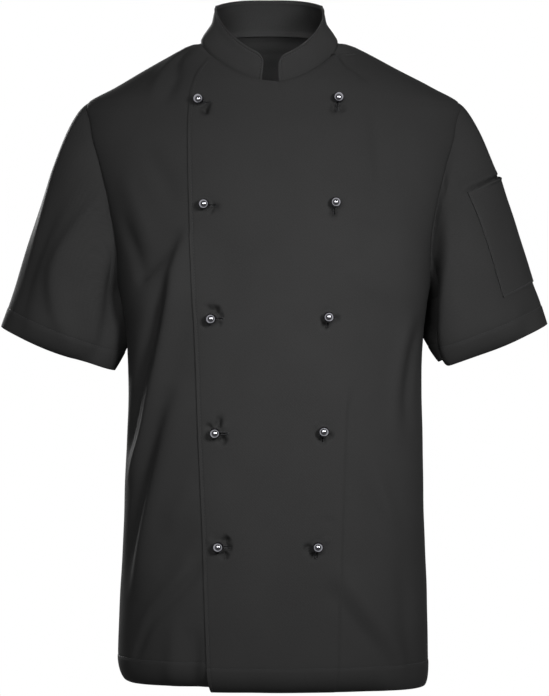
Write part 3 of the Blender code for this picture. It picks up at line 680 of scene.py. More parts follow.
LEFT_SLEEVE_FOLDS = (
    # The fold where it turns back beside the body
    Fold(13, 42, ((82, 186, 4), (88, 160, 11), (97, 124, 16), (111, 82, 18), (123, 42, 16),
                  (131, 10, 13), (133, 0, 12))),
    Fold(24, 16, ((140, 116, -8), (150, 78, -20), (159, 44, -28), (166, 12, -28), (168, 0, -26))),
    # It hangs over the pocket's opening, and dips behind it
    Fold(9, 2.4, ((-10, 190.4, 0), (10, 190.4, 0.5), (32, 190.4, 3.8), (60, 190.4, 4.4),
                  (72, 189, 0))),
    Fold(1.7, 1.9, ((-12, 187.2, 0), (8, 187.2, -1.6), (28, 187.2, -3.8), (58, 187.2, -4.0),
                    (66, 187, 0))),
    Fold(15, 14, ((84, 210, 0), (88, 168, -1.6), (92, 120, -2.2), (90, 70, -1.8), (84, 24, 0))),
    Fold(16, 16, ((70, 130, 0), (68, 96, 1.8), (70, 58, 2.4), (74, 22, 0))),
    Fold(18, 18, ((22, 52, 0), (18, 34, 1.8), (14, 18, 1.6), (10, 0, 0.8))),
    Fold(14, 15, ((28, 40, 0), (36, 26, -2.0), (44, 12, -2.2), (50, 0, -1.8))),
    Fold(16, 18, ((-48, 206, 0), (-56, 150, 3.6), (-58, 96, 4.2), (-56, 44, 2.2), (-54, 4, 0.6))),
    Fold(14, 16, ((-90, 184, 0), (-96, 138, -3.6), (-98, 84, -4.2), (-94, 36, -2.2), (-92, 4, 0))),
    Fold(14, 13, ((-128, 126, 0), (-130, 84, 2.8), (-126, 40, 2.4), (-122, 4, 0.8))),
)

# How the cloth puckers round each stud: (degrees from the viewer's right, turning up, how far it
# runs, height, width). The shank pulls the cloth in, and its slack stands up in short ridges.
Pucker = namedtuple("Pucker", "side row degrees reach height width")
PUCKERS = (
    Pucker("right", 1, -58, 18, -9.0, 4.4),
    Pucker("right", 1, -20, 15, -5.0, 3.6),
    Pucker("right", 1, 160, 16, 1.4, 4.0),
    Pucker("right", 2, -10, 19, -5.4, 3.4),
    Pucker("right", 2, -42, 14, -4.6, 3.2),
    Pucker("right", 2, 200, 14, 1.2, 4.0),
    Pucker("right", 3, 68, 17, -8.6, 4.2),
    Pucker("right", 3, 106, 18, -5.4, 3.6),
    Pucker("right", 3, 20, 15, -5.0, 3.4),
    Pucker("right", 3, -35, 14, -4.6, 3.2),
    Pucker("right", 3, 225, 16, -3.4, 3.0),
    Pucker("right", 4, 78, 22, -7.6, 3.4),
    Pucker("right", 4, 140, 17, -5.6, 3.2),
    Pucker("right", 4, -46, 17, -8.4, 4.2),
    Pucker("right", 4, 40, 18, 1.8, 4.0),
    Pucker("right", 5, 46, 17, -8.2, 4.2),
    Pucker("right", 5, -56, 17, -8.0, 4.0),
    Pucker("right", 5, -4, 16, -6.0, 3.8),
    Pucker("right", 5, 150, 18, 1.8, 4.0),
    Pucker("left", 1, -112, 18, -8.4, 4.0),
    Pucker("left", 1, -66, 17, -7.0, 3.6),
    Pucker("left", 2, -98, 20, -7.4, 3.8),
    Pucker("left", 2, 60, 14, 1.2, 4.0),
    Pucker("left", 3, -105, 16, -6.6, 3.6),
    Pucker("left", 3, -12, 15, -5.6, 3.4),
    Pucker("left", 4, -90, 16, -6.6, 3.6),
    Pucker("left", 4, -30, 15, -5.4, 3.4),
    Pucker("left", 4, 130, 15, 1.4, 4.0),
    Pucker("left", 5, -110, 17, -7.6, 3.8),
    Pucker("left", 5, 185, 17, -7.6, 3.8),
    Pucker("left", 5, 35, 20, 1.8, 4.0),
)

Crease = namedtuple("Crease", "points heights left right")
SEAM_DEPTH = -0.9
SIDE_SEAM_DEPTH = -0.8
SLEEVE_SEAM_DEPTH = -0.7
SEAM_WIDTH = 2.2
STUD_DIMPLE = -2.6
STUD_DIMPLE_WIDTH = 9.0
PUCKER_START = 5.0  # how far from the stud's middle a pucker begins
DISC_GIVES = 0.25  # the share of a pucker's depth that the disc behind the cloth lets through
DISC_HOLDS_BEYOND = 0.7  # inside the disc's rim, where the cloth starts to come free
DISC_HOLDS_OVER = 2.0
STITCH_TUCK = -0.25
STITCH_DEPTH = -0.28
FINE_REACH = 19.0  # how far from each stud the cloth is divided finely


def smooth_path(path, step=0.22):
    """More points on a smooth line through those of a path."""
    path = np.array(path, float)
    ends = np.concatenate([[2 * path[0] - path[1]], path, [2 * path[-1] - path[-2]]])
    found = []
    for i in range(1, len(ends) - 2):
        before, a, b, after = ends[i - 1 : i + 3]
        for t in np.arange(0, 1, step):
            found.append(
                0.5 * (2 * a + (b - before) * t + (2 * before - 5 * a + 4 * b - after) * t * t
                       + (3 * a - before - 3 * b + after) * t**3)
            )
    return np.array([*found, path[-1]])


def body_creases(folds, place):
    """The folds as lines in space. place gives (turn, z) for a point of a path."""
    creases = []
    for fold in folds:
        path = smooth_path(fold.path)
        points = body_point(*place(path[:, 0], path[:, 1]))
        creases.append(Crease(points, path[:, 2], fold.left, fold.right))
    return creases


def line_crease(points, height, width):
    """A groove or a ridge of one height along a line in space, such as a seam."""
    points = np.asarray(points)
    return Crease(points, np.full(len(points), float(height)), width, width)


def crease_heights(points, normals, crease):
    """How far one crease moves each of the points outwards."""
    out = np.zeros(len(points))
    reach = 2.6 * max(crease.left, crease.right)
    low, high = crease.points.min(axis=0) - reach, crease.points.max(axis=0) + reach
    near = np.flatnonzero(((points > low) & (points < high)).all(axis=1))
    start, along = crease.points[:-1], np.diff(crease.points, axis=0)
    square_length = np.maximum((along**2).sum(axis=1), 1e-9)
    for part in np.array_split(near, max(1, len(near) * len(start) // 400_000)):
        away = points[part][:, None] - start
        t = np.clip((away * along).sum(axis=2) / square_length, 0, 1)
        away -= t[..., None] * along
        nearest = (away**2).sum(axis=2).argmin(axis=1)
        row = np.arange(len(part))
        away, t = away[row, nearest], t[row, nearest]
        leftward = np.cross(along[nearest], normals[part])
        width = np.where((leftward * away).sum(axis=1) > 0, crease.left, crease.right)
        height = crease.heights[nearest] * (1 - t) + crease.heights[nearest + 1] * t
        out[part] = height * np.exp(-(away**2).sum(axis=1) / width**2)
    return out


def uneven(points):
    """The slight unevenness of cloth that has been washed and worn."""
    x, y, z = points.T
    slow = np.sin(x / 33 + z / 71 + 0.4) * np.sin(z / 47 - y / 39 + 1.1)
    quick = np.sin(x / 14 - z / 23 + 2.0) * np.sin(z / 17 + y / 19 + 0.3)
    return 0.8 * slow + 0.2 * quick


def shaped(points, normals, creases):
    """A grid's points after the creases and the cloth's unevenness have moved them."""
    flat, facing = points.reshape(-1, 3), normals.reshape(-1, 3)
    move = uneven(flat)
    for crease in creases:
        move = move + crease_heights(flat, facing, crease)
    return points + normals * move.reshape(points.shape[:-1])[..., None]


# --- The lines that seams run along ---


def armhole_line(side):
    """All round one armhole, from the shoulder's tip and back to it."""
    share = np.linspace(0, 1, 121)
    turn, z = armhole(np.where(share <= 0.5, share, share - 1) * 2 * math.pi)
    return mirrored(body_point(turn, z), z, side)


def neck_places(side):
    """(turn, z) along the neckline, from one front end of the collar to the centre back."""
    reach = (COLLAR_ENDS[side] / NECK_HALF_WIDTH) ** (FRONT_NECK_ROUND / 2)
    first = math.asin(reach) / (math.pi / 2)
    places = [front_neck(share) for share in np.linspace(first, 1, 60)]
    return places + [back_neck(share) for share in np.linspace(0, 1, 50)[1:]]


def neck_line():
    """The whole neckline, from the right front end of the collar round to the left one."""
    halves = []
    for side in (1, -1):
        turn, z = np.array(neck_places(side)).T
        halves.append(mirrored(body_point(turn, z), z, side))
    left, right = halves
    return np.concatenate([right, left[-2::-1]])


def upright_line(turn, low, high, side):
    """A line up the body at one turn, such as a side seam or a shoulder seam."""
    z = np.linspace(low, high, 60)
    return mirrored(body_point(turn, z), z, side)


def seam_creases():
    """Grooves where the pieces of the body are sewn together, and to the collar and sleeves."""
    side_turn = math.pi / 2
    creases = [line_crease(neck_line(), SEAM_DEPTH, SEAM_WIDTH)]
    for way in (1, -1):
        creases.append(line_crease(armhole_line(way), SEAM_DEPTH, SEAM_WIDTH))
        for low, high in ((HEM_Z, ARMPIT_Z), (SHOULDER_TIP_Z, 0)):
            seam = upright_line(side_turn, low, high, way)
            creases.append(line_crease(seam, SIDE_SEAM_DEPTH, SEAM_WIDTH))
    return creases


# --- Studs: where they are, and how the cloth puckers round them ---


def stud_place(stud):
    """Matrix, in millimetres, of a stud on the front. X runs to the viewer's right, Z outwards."""
    turn, z = on_front(stud.x, stud.z)
    out = Vector(body_normal(turn, z))
    right = Vector((0, 0, 1)).cross(out).normalized()
    turned = Matrix((right, out.cross(right), out)).transposed().to_4x4()
    return Matrix.Translation(Vector(body_point(turn, z))) @ turned


def stud_creases():
    """The dimple that each stud's shank pulls, and the puckers round it."""
    creases = []
    for stud in STUDS:
        middle = np.array(stud_place(stud).translation)
        creases.append(line_crease([middle, middle], STUD_DIMPLE, STUD_DIMPLE_WIDTH))
        for pucker in PUCKERS:
            if (pucker.side, pucker.row) != (stud.side, stud.row):
                continue
            angle = math.radians(pucker.degrees)
            steps = np.linspace(PUCKER_START, pucker.reach, 7)
            turn, z = on_front(stud.x + steps * math.cos(angle), stud.z + steps * math.sin(angle))
            high = pucker.height * np.sin(np.linspace(0.12, 1, 7) * math.pi)
            creases.append(Crease(body_point(turn, z), high, pucker.width, pucker.width))
    return creases


# --- Panels ---


def hem_relief(up, depth, curl, curl_depth):
    """The turned-up hem stands a little proud, as far as its stitching, which pulls it in, and
    the lowest edge curls inwards."""
    band = smooth_step((depth + 0.5 - up) / 2.5) * HEM_PROUD
    stitched = STITCH_DEPTH * np.exp(-(((up - depth) / 1.1) ** 2))
    turned = 1 - np.sqrt(1 - 0.97 * np.clip(1 - up / curl_depth, 0, 1) ** 2)
    return band + stitched - curl * turned


def hem_bulge(points, low):
    """The relief of the body's hem. Its two side seams turn in less, the left one least."""
    kept = 1.0
    for side, loss in HEM_HELD.items():
        kept = kept - loss * smooth_step((side * points[..., 0] - HEM_HELD_FROM) / HEM_HELD_OVER)
    return hem_relief(points[..., 2] - low, HEM_DEPTH, HEM_CURL * kept, HEM_CURL_DEPTH)


def flap_stand_off(points):
    """How far the left front's outer face stands off the body: over the underlap, one step."""
    z = points[..., 2]
    past = points[..., 0] - lean(z) - underlap_edge(z)
    (low, rise), (high, fall) = LAP_HIGH_FROM, LAP_HIGH_UNTIL
    high_up = smooth_step((z - low) / rise) * (1 - smooth_step((z - high) / fall))
    ease = LAP_EASE_LENGTH + LAP_EASE_HIGH * high_up
    across = 1 - smooth_step((past - LAP_EASE_START) / ease)
    up = 1 - smooth_step((z - LAP_CORNER_Z) / LAP_EASE_UP)
    return LAP_STEP * across * up


def edge_distance(points, edge, side):
    """How far inside a front's free edge each point lies."""
    z = points[..., 2]
    return edge(z) - side * (points[..., 0] - lean(z))


def rolled(distance):
    """The roll of a turned and topstitched edge, by the distance inside it."""
    roll = 0.12 * np.exp(-(((distance - 1.6) / 1.3) ** 2))
    return roll + STITCH_DEPTH * np.exp(-(((distance - EDGE_STITCH) / 0.7) ** 2))


def add_panel(cloth, grid, low, creases, move=0.0, doubled=0.0, edge_wear_and_highlight=0.0):
    """Adds a part of a front or of the back, with its creases and its hem. low is the height of
    its lowest edge."""
    points, normals = grid
    z = points[..., 2]
    move = hem_bulge(points, low) + move
    doubled = np.maximum((z < low + HEM_DEPTH) * 1.0, doubled)
    # The lowest edge is painted paler: rubbed wear and a painted highlight of the fold
    edge_wear_and_highlight = np.maximum(np.exp(-(z - low) / EDGE_WEAR_AND_HIGHLIGHT), edge_wear_and_highlight)
    points = shaped(points, normals, creases) + normals * move[..., None]
    cloth.add_grid(points, normals, doubled, edge_wear_and_highlight)


def front_cloth(side, edge, eased_edge, hem_lift, creases):
    """One front. side is 1 for the left front, which laps over the right one."""
    cloth = Cloth()
    low = HEM_Z + hem_lift
    own = body_grid(own_rows(hem_lift, eased_edge), side)
    lap = body_grid(lap_rows(edge, hem_lift), -side)
    own_move, lap_move = (flap_stand_off(grid[0]) if side > 0 else 0.0 for grid in (own, lap))
    add_panel(cloth, own, low, creases, own_move)
    inside = edge_distance(lap[0], edge, -side)
    z = lap[0][..., 2]
    pressed = smooth_step((FLATTER_FROM - z) / FLATTER_OVER)
    roll = np.where(z < LAP_CORNER_Z - 4, rolled(inside) * pressed, 0)
    faced = (inside < FACING_WIDTH) * 1.0
    # Its free edge is painted paler, as rubbed wear and a painted highlight, less so towards the neck
    add_panel(cloth, lap, low, creases, lap_move + roll, faced, np.exp(-inside / 1.3) * pressed)
    return cloth


def back_cloth(creases):
    """The whole back, in two halves that meet at its middle."""
    cloth = Cloth()
    for side in (1, -1):
        add_panel(cloth, body_grid(back_rows(), side), HEM_Z + BACK_HEM_LIFT, creases)
    return cloth


# --- Sleeves ---

SLEEVE_COLUMNS = 132
SLEEVE_LINES = 106
TUCK_LENGTH = 2.2
TUCK_DEPTH = 1.6
SLEEVE_HELD = 11.0  # how far from the armhole its folds reach their full height

# ups is each point's distance from the cuff, and angles is one for each column
SleeveGrid = namedtuple("SleeveGrid", "points normals ups angles")


def sleeve_line(start, end, angle):
    """A smooth line up the sleeve from the cuff to the armhole, finely divided."""
    length = np.linalg.norm(end - start)
    over = max(math.cos(angle), 0.0) ** 2
    low_tilt = (OUTER_TILT + UNDER_TILT) / 2 + (OUTER_TILT - UNDER_TILT) / 2 * math.cos(angle)
    high_tilt = CAP_UNDER_TILT + (CAP_TOP_TILT - CAP_UNDER_TILT) * over
    low, high = math.radians(low_tilt), math.radians(high_tilt)
    leave = np.array([-math.sin(low), 0, math.cos(low)]) * length
    arrive = np.array([-math.sin(high), CAP_FULLNESS * math.sin(angle), math.cos(high)])
    arrive = arrive * length * (1 - (1 - CAP_TOP_PULL) * over)
    t = np.linspace(0, 1, 90)[:, None]
    near = (1 + 2 * t) * (1 - t) ** 2 * start + t * (1 - t) ** 2 * leave
    far = t * t * (3 - 2 * t) * end + t * t * (t - 1) * arrive
    return near + far


def sleeve_grid(side):
    """Rings by columns of a sleeve's plain form, from the cuff up, with its outward normals."""
    angles = 2 * math.pi * np.arange(SLEEVE_COLUMNS) / SLEEVE_COLUMNS
    turn, z = armhole(np.where(angles <= math.pi, angles, angles - 2 * math.pi))
    ends = body_point(turn, z)
    tilt = math.radians(CUFF_TILT)
    hem, cap = np.array(CUFF_LINES), np.array(CAP_LINES)
    lines, ups = [], []
    for end, angle in zip(ends, angles):
        out, ahead = CUFF_HALF_WIDTH * math.cos(angle), CUFF_HALF_DEPTH * math.sin(angle)
        x = CUFF_X + out * math.cos(tilt)
        z = CUFF_Z + out * math.sin(tilt) - CUFF_FRONT_DROP * math.sin(angle)
        line = sleeve_line(np.array([x, -ahead, z]), end, angle)
        along = lengths_along(line)
        even = np.linspace(hem[-1], along[-1] - cap[0], SLEEVE_LINES)[1:-1]
        stops = np.concatenate([hem, even, along[-1] - cap])
        lines.append(at_lengths(stops, along, line))
        ups.append(stops)
    points, ups = np.array(lines).transpose(1, 0, 2), np.array(ups).T
    normals = -grid_normals(points, closed=True)
    # One ring more goes in under the body's edge, so that the seam is closed.
    onward = unit(points[-1] - points[-2])
    tucked = points[-1] + onward * TUCK_LENGTH - body_normal(turn, z) * TUCK_DEPTH
    points = np.concatenate([points, tucked[None]])
    normals = np.concatenate([normals, normals[-1:]])
    ups = np.concatenate([ups, ups[-1:] + TUCK_LENGTH])
    if side < 0:
        share = np.minimum(ups / ups[-2], 1)
        middle = share * lean(points[-2, :, 2])[None, :] + (1 - share) * SLEEVE_LEAN
        points, normals = points.copy(), normals * np.array([-1.0, 1, 1])
        points[..., 0] = 2 * middle - points[..., 0]
        points[..., 2] -= RIGHT_CUFF_DROP * (1 - share) ** 2
    return SleeveGrid(points, normals, ups, angles)


def sleeve_places(grid, degrees, ups):
    """Points and normals on a sleeve, by degrees forwards of its outer line and by the distance
    from the cuff."""
    columns = SLEEVE_COLUMNS
    at = (np.asarray(degrees, float) / 360 * columns) % columns
    found = []
    for place, up in zip(at, np.broadcast_to(ups, at.shape)):
        left = int(place) % columns
        right = (left + 1) % columns
        share = place - int(place)
        both = []
        for values in (grid.points, grid.normals):
            ends = [at_lengths(up, grid.ups[:, c], values[:, c]) for c in (left, right)]
            both.append(ends[0] * (1 - share) + ends[1] * share)
        found.append(both)
    found = np.array(found)
    return found[:, 0], unit(found[:, 1])


def sleeve_creases(grid, folds, side):
    """A sleeve's folds, with the grooves of its armhole and of the seam along its underside."""
    creases = []
    for fold in folds:
        path = smooth_path(fold.path, 0.34)
        points, _ = sleeve_places(grid, path[:, 0], path[:, 1])
        creases.append(Crease(points, path[:, 2], fold.left, fold.right))
    creases.append(line_crease(armhole_line(side), SEAM_DEPTH, SEAM_WIDTH))
    seam, _ = sleeve_places(grid, np.full(12, 180.0), np.linspace(0, grid.ups[-1].min(), 12))
    creases.append(line_crease(seam, SLEEVE_SEAM_DEPTH, SEAM_WIDTH))
    return creases


def sleeve_cloth(grid, creases, side):
    """side is 1 for the wearer's left sleeve, -1 for the right one."""
    points, normals, ups, angles = grid
    flat = shaped(points, normals, creases)
    # The folds run out at the armhole, where the body's cloth holds the sleeve.
    held = np.clip((ups[-2] - ups) / SLEEVE_HELD, 0, 1)[..., None] ** 0.7
    flat = points + (flat - points) * held
    # The front and back of the cuff turn in, and its two sides hold their line.
    curl = CUFF_CURL * np.sin(angles) ** 2
    move = hem_relief(ups, CUFF_HEM_DEPTH, curl[None, :], CUFF_CURL_DEPTH)
    flat = flat + normals * move[..., None]
    doubled = (ups < CUFF_HEM_DEPTH) * 1.0
    # The cuff's edge is painted paler: rubbed wear and a painted highlight of the fold
    edge_wear_and_highlight = np.exp(-ups / EDGE_WEAR_AND_HIGHLIGHT)
    grids = flat, normals, doubled, edge_wear_and_highlight
    if side > 0:  # seen from outside, the left sleeve's columns run to the left
        grids = (values[:, ::-1] for values in grids)
    cloth = Cloth()
    cloth.add_grid(*grids, closed=True)
    return cloth


def pocket_cloth(grid, creases):
    """The pocket on the left sleeve: a flat patch, open along its top edge, which gapes."""
    lines = np.array(POCKET_LINES)
    first, last = POCKET_TURN
    low, high = POCKET_UP
    turns = lines / DEGREE_ROUND_SLEEVE
    degrees = np.concatenate([
        first + turns, np.linspace(first + 5.5, last - 5.5, 22), last - turns[::-1]
    ])
    ups = np.concatenate([low + lines, np.linspace(low + 6, high - 6, 26), high - lines[::-1]])
    rows = np.array([sleeve_places(grid, degrees, up) for up in ups])
    points, normals = rows[:, 0], rows[:, 1]
    flat = shaped(points, normals, creases)
    across = (degrees - first) / (last - first)
    up_share = (ups - low) / (high - low)
    bow = np.sin(math.pi * across**POCKET_GAPE_FORWARD)[None, :] ** 2
    gape = POCKET_GAPE * bow * smooth_step((up_share - 0.72) / 0.28)[:, None]
    inside = np.minimum(across, 1 - across)[None, :] * POCKET_WIDTH
    edge = np.minimum(inside, up_share[:, None] * POCKET_HEIGHT)
    tuck = STITCH_TUCK * np.exp(-((edge - POCKET_STITCH) ** 2) / 0.8)
    lip = POCKET_LIP * smooth_step(1 - (high - ups) / lines[-1])[:, None] * bow**1.5  # it turns out
    flat = flat + normals * (POCKET_OFF + POCKET_THICK + gape + tuck + lip)[..., None]
    # The pocket's edges are painted paler: rubbed wear and a painted highlight
    edge_wear_and_highlight = np.exp(-np.minimum(edge, (1 - up_share)[:, None] * POCKET_HEIGHT) / EDGE_WEAR_AND_HIGHLIGHT)
    cloth = Cloth()
    cloth.add_grid(flat[:, ::-1], normals[:, ::-1], 1.0, edge_wear_and_highlight[:, ::-1])
    return cloth


# --- Collar ---


def collar_stops(side):
    """Distances along one half of the collar's foot, and its foot points and the body's normals
    there, on the wearer's left."""
    places = neck_places(side)
    foot = np.array([body_point(turn, z) for turn, z in places])
    under = np.array([body_normal(turn, z) for turn, z in places])
    along = lengths_along(foot)
    stops = np.concatenate([COLLAR_END_LINES, np.linspace(12, along[-1], 48)])
    return stops, at_lengths(stops, along, foot), unit(at_lengths(stops, along, under))


def collar_points(foot, under, high):
    """Points at the height high over the collar's foot. Below it they tuck in under the body."""
    middle = lean(foot[:, 2])
    turned = smooth_step(high / COLLAR_FOOT_HEIGHT)
    side_in = COLLAR_LEAN_SIDE * high + COLLAR_FOOT_SIDE * turned
    front_in = COLLAR_LEAN_FRONT * high + COLLAR_FOOT_FRONT * turned
    depth_in = np.where(foot[:, 1] < 0, front_in, COLLAR_LEAN_BACK * high)
    above = high > 0
    x = middle + (foot[:, 0] - middle) * np.where(above, 1 - side_in / NECK_HALF_WIDTH, 1)
    y = foot[:, 1] * np.where(above, 1 - depth_in / NECK_HALF_WIDTH, 1)
    tuck = np.minimum(high, 0)[:, None] * 0.5
    return np.stack([x, y, foot[:, 2] + high], -1) + under * tuck


def collar_rise_at(stops):
    """How high the collar stands along its foot, rounded off at its front corner."""
    rise = collar_rise(stops / stops[-1])
    short = np.maximum(COLLAR_CORNER - stops, 0)
    return rise - (COLLAR_CORNER - np.sqrt(COLLAR_CORNER**2 - short**2))


def collar_half(side):
    """Points of one half of the collar, how far inside its free edge each lies, and how high."""
    stops, foot, under = collar_stops(side)
    rise = collar_rise_at(stops)
    low, top = COLLAR_FOOT_LINES[-1], COLLAR_TOP_LINES[0]
    highs = [np.full(len(stops), float(high)) for high in COLLAR_FOOT_LINES]
    highs += [low + (rise - top - low) * share for share in np.arange(1, 9) / 9]
    highs += [rise - down for down in COLLAR_TOP_LINES]
    points = np.array([collar_points(foot, under, high) for high in highs])
    points = mirrored(points, foot[:, 2], side)
    inside = np.minimum(rise - np.array(highs), stops)
    return points, inside, np.array(highs)


def collar_cloth():
    """The collar in one band, with a rolled free edge and a little slack."""
    halves = zip(collar_half(1), collar_half(-1))
    points, inside, up = (
        np.concatenate([left, right[:, -2::-1]], axis=1) for left, right in halves
    )
    normals = grid_normals(points)
    move = COLLAR_ROLL * np.exp(-(((inside - 1.5) / 1.4) ** 2))
    move += COLLAR_STITCH_DEPTH * np.exp(-(((inside - COLLAR_STITCH) / 0.8) ** 2))
    move += SEAM_DEPTH * np.exp(-((up / SEAM_WIDTH) ** 2))
    slack = np.sin(points[..., 0] / 11 + points[..., 1] / 17) * np.sin(up / 41 * math.pi)
    points = points + normals * (move + COLLAR_SLACK * slack)[..., None]
    cloth = Cloth()
    # The collar's free edge is painted paler: rubbed wear and a painted highlight
    cloth.add_grid(points, normals, 1.0, np.exp(-np.maximum(inside, 0) / 2.0))
    return cloth


# --- Making the meshes ---


def linear(code):
    """A colour's linear values from its sRGB hex code."""
    parts = [int(code[i : i + 2], 16) / 255 for i in (1, 3, 5)]
    return [c / 12.92 if c <= 0.04045 else ((c + 0.055) / 1.055) ** 2.4 for c in parts] + [1.0]


def add_node(tree, kind, settings=None, **inputs):
    """Adds a node with its settings. An input's value is a number or the socket it comes from,
    and an input's name has underscores for its spaces."""
    node = tree.nodes.new(kind)
    for name, value in (settings or {}).items():
        setattr(node, name, value)
    for name, value in inputs.items():
        key = int(name[1:]) if name[0] == "_" else name.replace("_", " ")
        socket = node.inputs[key]
        if isinstance(value, bpy.types.NodeSocket):
            tree.links.new(value, socket)
        else:
            socket.default_value = value
    return node


def mixed(tree, share, first, second, **settings):
    """The colour between two. Each of them is an sRGB hex code or a socket."""
    first, second = (linear(c) if isinstance(c, str) else c for c in (first, second))
    settings["data_type"] = "RGBA"
    return add_node(tree, "ShaderNodeMix", settings, _0=share, _6=first, _7=second).outputs[2]


def ranged(tree, value, low, high):
    """A value from 0 to 1, spread from low to high."""
    return add_node(tree, "ShaderNodeMapRange", _0=value, _3=low, _4=high).outputs[0]


def reckoned(tree, operation, *values):
    """The result of a sum on sockets or numbers."""
    inputs = {f"_{i}": value for i, value in enumerate(values)}
    return add_node(tree, "ShaderNodeMath", {"operation": operation}, **inputs).outputs[0]


def noise(tree, place, scale, settings=None, **inputs):
    """Cloudy unevenness. scale is how many clouds there are to a metre."""
    node = add_node(tree, "ShaderNodeTexNoise", settings, Vector=place, Scale=scale, **inputs)
    return node.outputs["Fac"]


def new_material(name):
    material = bpy.data.materials.new(name)
    material.use_nodes = True
    return material, material.node_tree, material.node_tree.nodes["Principled BSDF"]


def new_object(name, data):
    obj = bpy.data.objects.new(name, data)
    bpy.context.scene.collection.objects.link(obj)
    return obj


def apply_modifier(obj, kind, name, **settings):
    modifier = obj.modifiers.new(name, kind)
    for key, value in settings.items():
        setattr(modifier, key, value)
    bpy.ops.object.select_all(action="DESELECT")
    bpy.context.view_layer.objects.active = obj
    obj.select_set(True)
    bpy.ops.object.modifier_apply(modifier=modifier.name)
    obj.select_set(False)


def pucker_cloth(bm, creases):
    """Divides the cloth finely round each stud, and draws it into its puckers there."""
    middles = [stud_place(stud).translation * MM for stud in STUDS]
    near = [
        edge for edge in bm.edges
        if any(((edge.verts[0].co + edge.verts[1].co) / 2 - middle).length < FINE_REACH * MM
               for middle in middles)
    ]
    bmesh.ops.subdivide_edges(bm, edges=near, cuts=2, use_grid_fill=True)
    bm.normal_update()
    verts = list(bm.verts)
    points = np.array([vert.co for vert in verts]) / MM
    normals = np.array([vert.normal for vert in verts])
    move = sum(crease_heights(points, normals, crease) for crease in creases)
    # The disc behind holds the cloth flat round the shank.
    discs = np.array(middles) / MM
    away = np.sqrt(((points[:, None] - discs) ** 2).sum(axis=2).min(axis=1))
    free = smooth_step((away - DISC_RADIUS + DISC_HOLDS_BEYOND) / DISC_HOLDS_OVER)
    move = move * (DISC_GIVES + (1 - DISC_GIVES) * free)
    for i in np.flatnonzero(np.abs(move) > 0.02):
        verts[i].co += Vector(normals[i] * move[i] * MM)


def cloth_object(name, cloth, thickness, material, puckers=()):
    """The cloth as a thin closed shell with rolled edges, its outer face on the cloth's points."""
    bm = bmesh.new()
    weights = bm.verts.layers.deform.verify()
    # How far each point is painted paler at a folded edge: rubbed wear and a painted highlight
    rub_and_highlight = bm.verts.layers.float.new("rub_and_highlight")
    lengths = bm.loops.layers.uv.new("Along the cloth")
    verts = []
    for point, doubled, edge_wear_and_highlight in zip(cloth.points * MM, cloth.doubled, cloth.edge_wear_and_highlight):
        vert = bm.verts.new(point)
        vert[weights][0] = float(doubled)
        vert[rub_and_highlight] = float(edge_wear_and_highlight)
        verts.append(vert)
    for corners in cloth.faces:
        face = bm.faces.new([verts[i] for i in corners])
        face.smooth = True
        for loop, i in zip(face.loops, corners):
            loop[lengths].uv = cloth.lengths[i] * MM
    bmesh.ops.remove_doubles(bm, verts=bm.verts, dist=0.03 * MM)
    if puckers:
        pucker_cloth(bm, puckers)
    mesh = bpy.data.meshes.new(name)
    bm.to_mesh(mesh)
    bm.free()
    obj = new_object(name, mesh)
    obj.vertex_groups.new(name="Doubled cloth")
    apply_modifier(
        obj, "SOLIDIFY", "Thickness",
        thickness=thickness * MM,
        offset=-1.0,
        vertex_group="Doubled cloth",
        thickness_vertex_group=min(1.0, CLOTH_THICK / thickness),
    )
    apply_modifier(
        obj, "BEVEL", "Rolled edges",
        width=ROLLED_EDGE * MM,
        segments=2,
        limit_method="ANGLE",
        angle_limit=math.radians(62),
    )
    mesh.materials.append(material)
    return obj


# --- Materials ---

RIB_SPACING = 3.4375  # across the cloth. The real ribs are finer, too fine to show.
YARNS_PER_METRE = 620.0


def twill_material():
    """Black polycotton twill, piece dyed and washed: matt, with a fine diagonal rib that only shows
    as a faint grain, uneven dye, and folded edges painted paler, partly as rubbed wear and partly as
    a painted highlight."""
    material, tree, shader = new_material("black_polycotton_twill")
    along = add_node(tree, "ShaderNodeUVMap", {"uv_map": "Along the cloth"}).outputs[0]
    # The diagonal ribs, which catch the light as a faint grain
    rib = add_node(
        tree, "ShaderNodeTexWave",
        {"wave_type": "BANDS", "bands_direction": "DIAGONAL", "wave_profile": "SIN"},
        Vector=along, Scale=math.pi / 5 / (RIB_SPACING * MM), Distortion=0.7, Detail=2.0,
        Detail_Scale=1.4,
    ).outputs["Fac"]
    # Single yarns, and the slow unevenness of the dye
    flat = {"noise_dimensions": "2D"}
    yarn = noise(tree, along, YARNS_PER_METRE, flat, Detail=3.0, Roughness=0.65)
    dye = noise(tree, along, 14.0, flat, Detail=4.0, Roughness=0.5)
    ground = mixed(tree, dye, "#212121", "#292929")
    lit_yarn = mixed(tree, yarn, ground, "#303030")
    ribbed = mixed(tree, 0.16, lit_yarn, ranged(tree, rib, 0.72, 1.0), blend_type="MULTIPLY")
    # Paler along folded edges: partly dye rubbed off, partly a painted highlight of the fold
    rub_and_highlight = add_node(tree, "ShaderNodeAttribute", {"attribute_name": "rub_and_highlight"}).outputs["Fac"]
    colour = mixed(tree, reckoned(tree, "MULTIPLY", rub_and_highlight, 0.6), ribbed, "#323232")
    tree.links.new(colour, shader.inputs["Base Color"])
    tree.links.new(ranged(tree, yarn, 0.74, 0.9), shader.inputs["Roughness"])
    relief = reckoned(tree, "MULTIPLY_ADD", yarn, 0.5, rib)
    bump = add_node(tree, "ShaderNodeBump", Strength=0.12, Distance=0.12 * MM, Height=relief)
    tree.links.new(bump.outputs[0], shader.inputs["Normal"])
    shader.inputs["Specular IOR Level"].default_value = 0.02
    return material


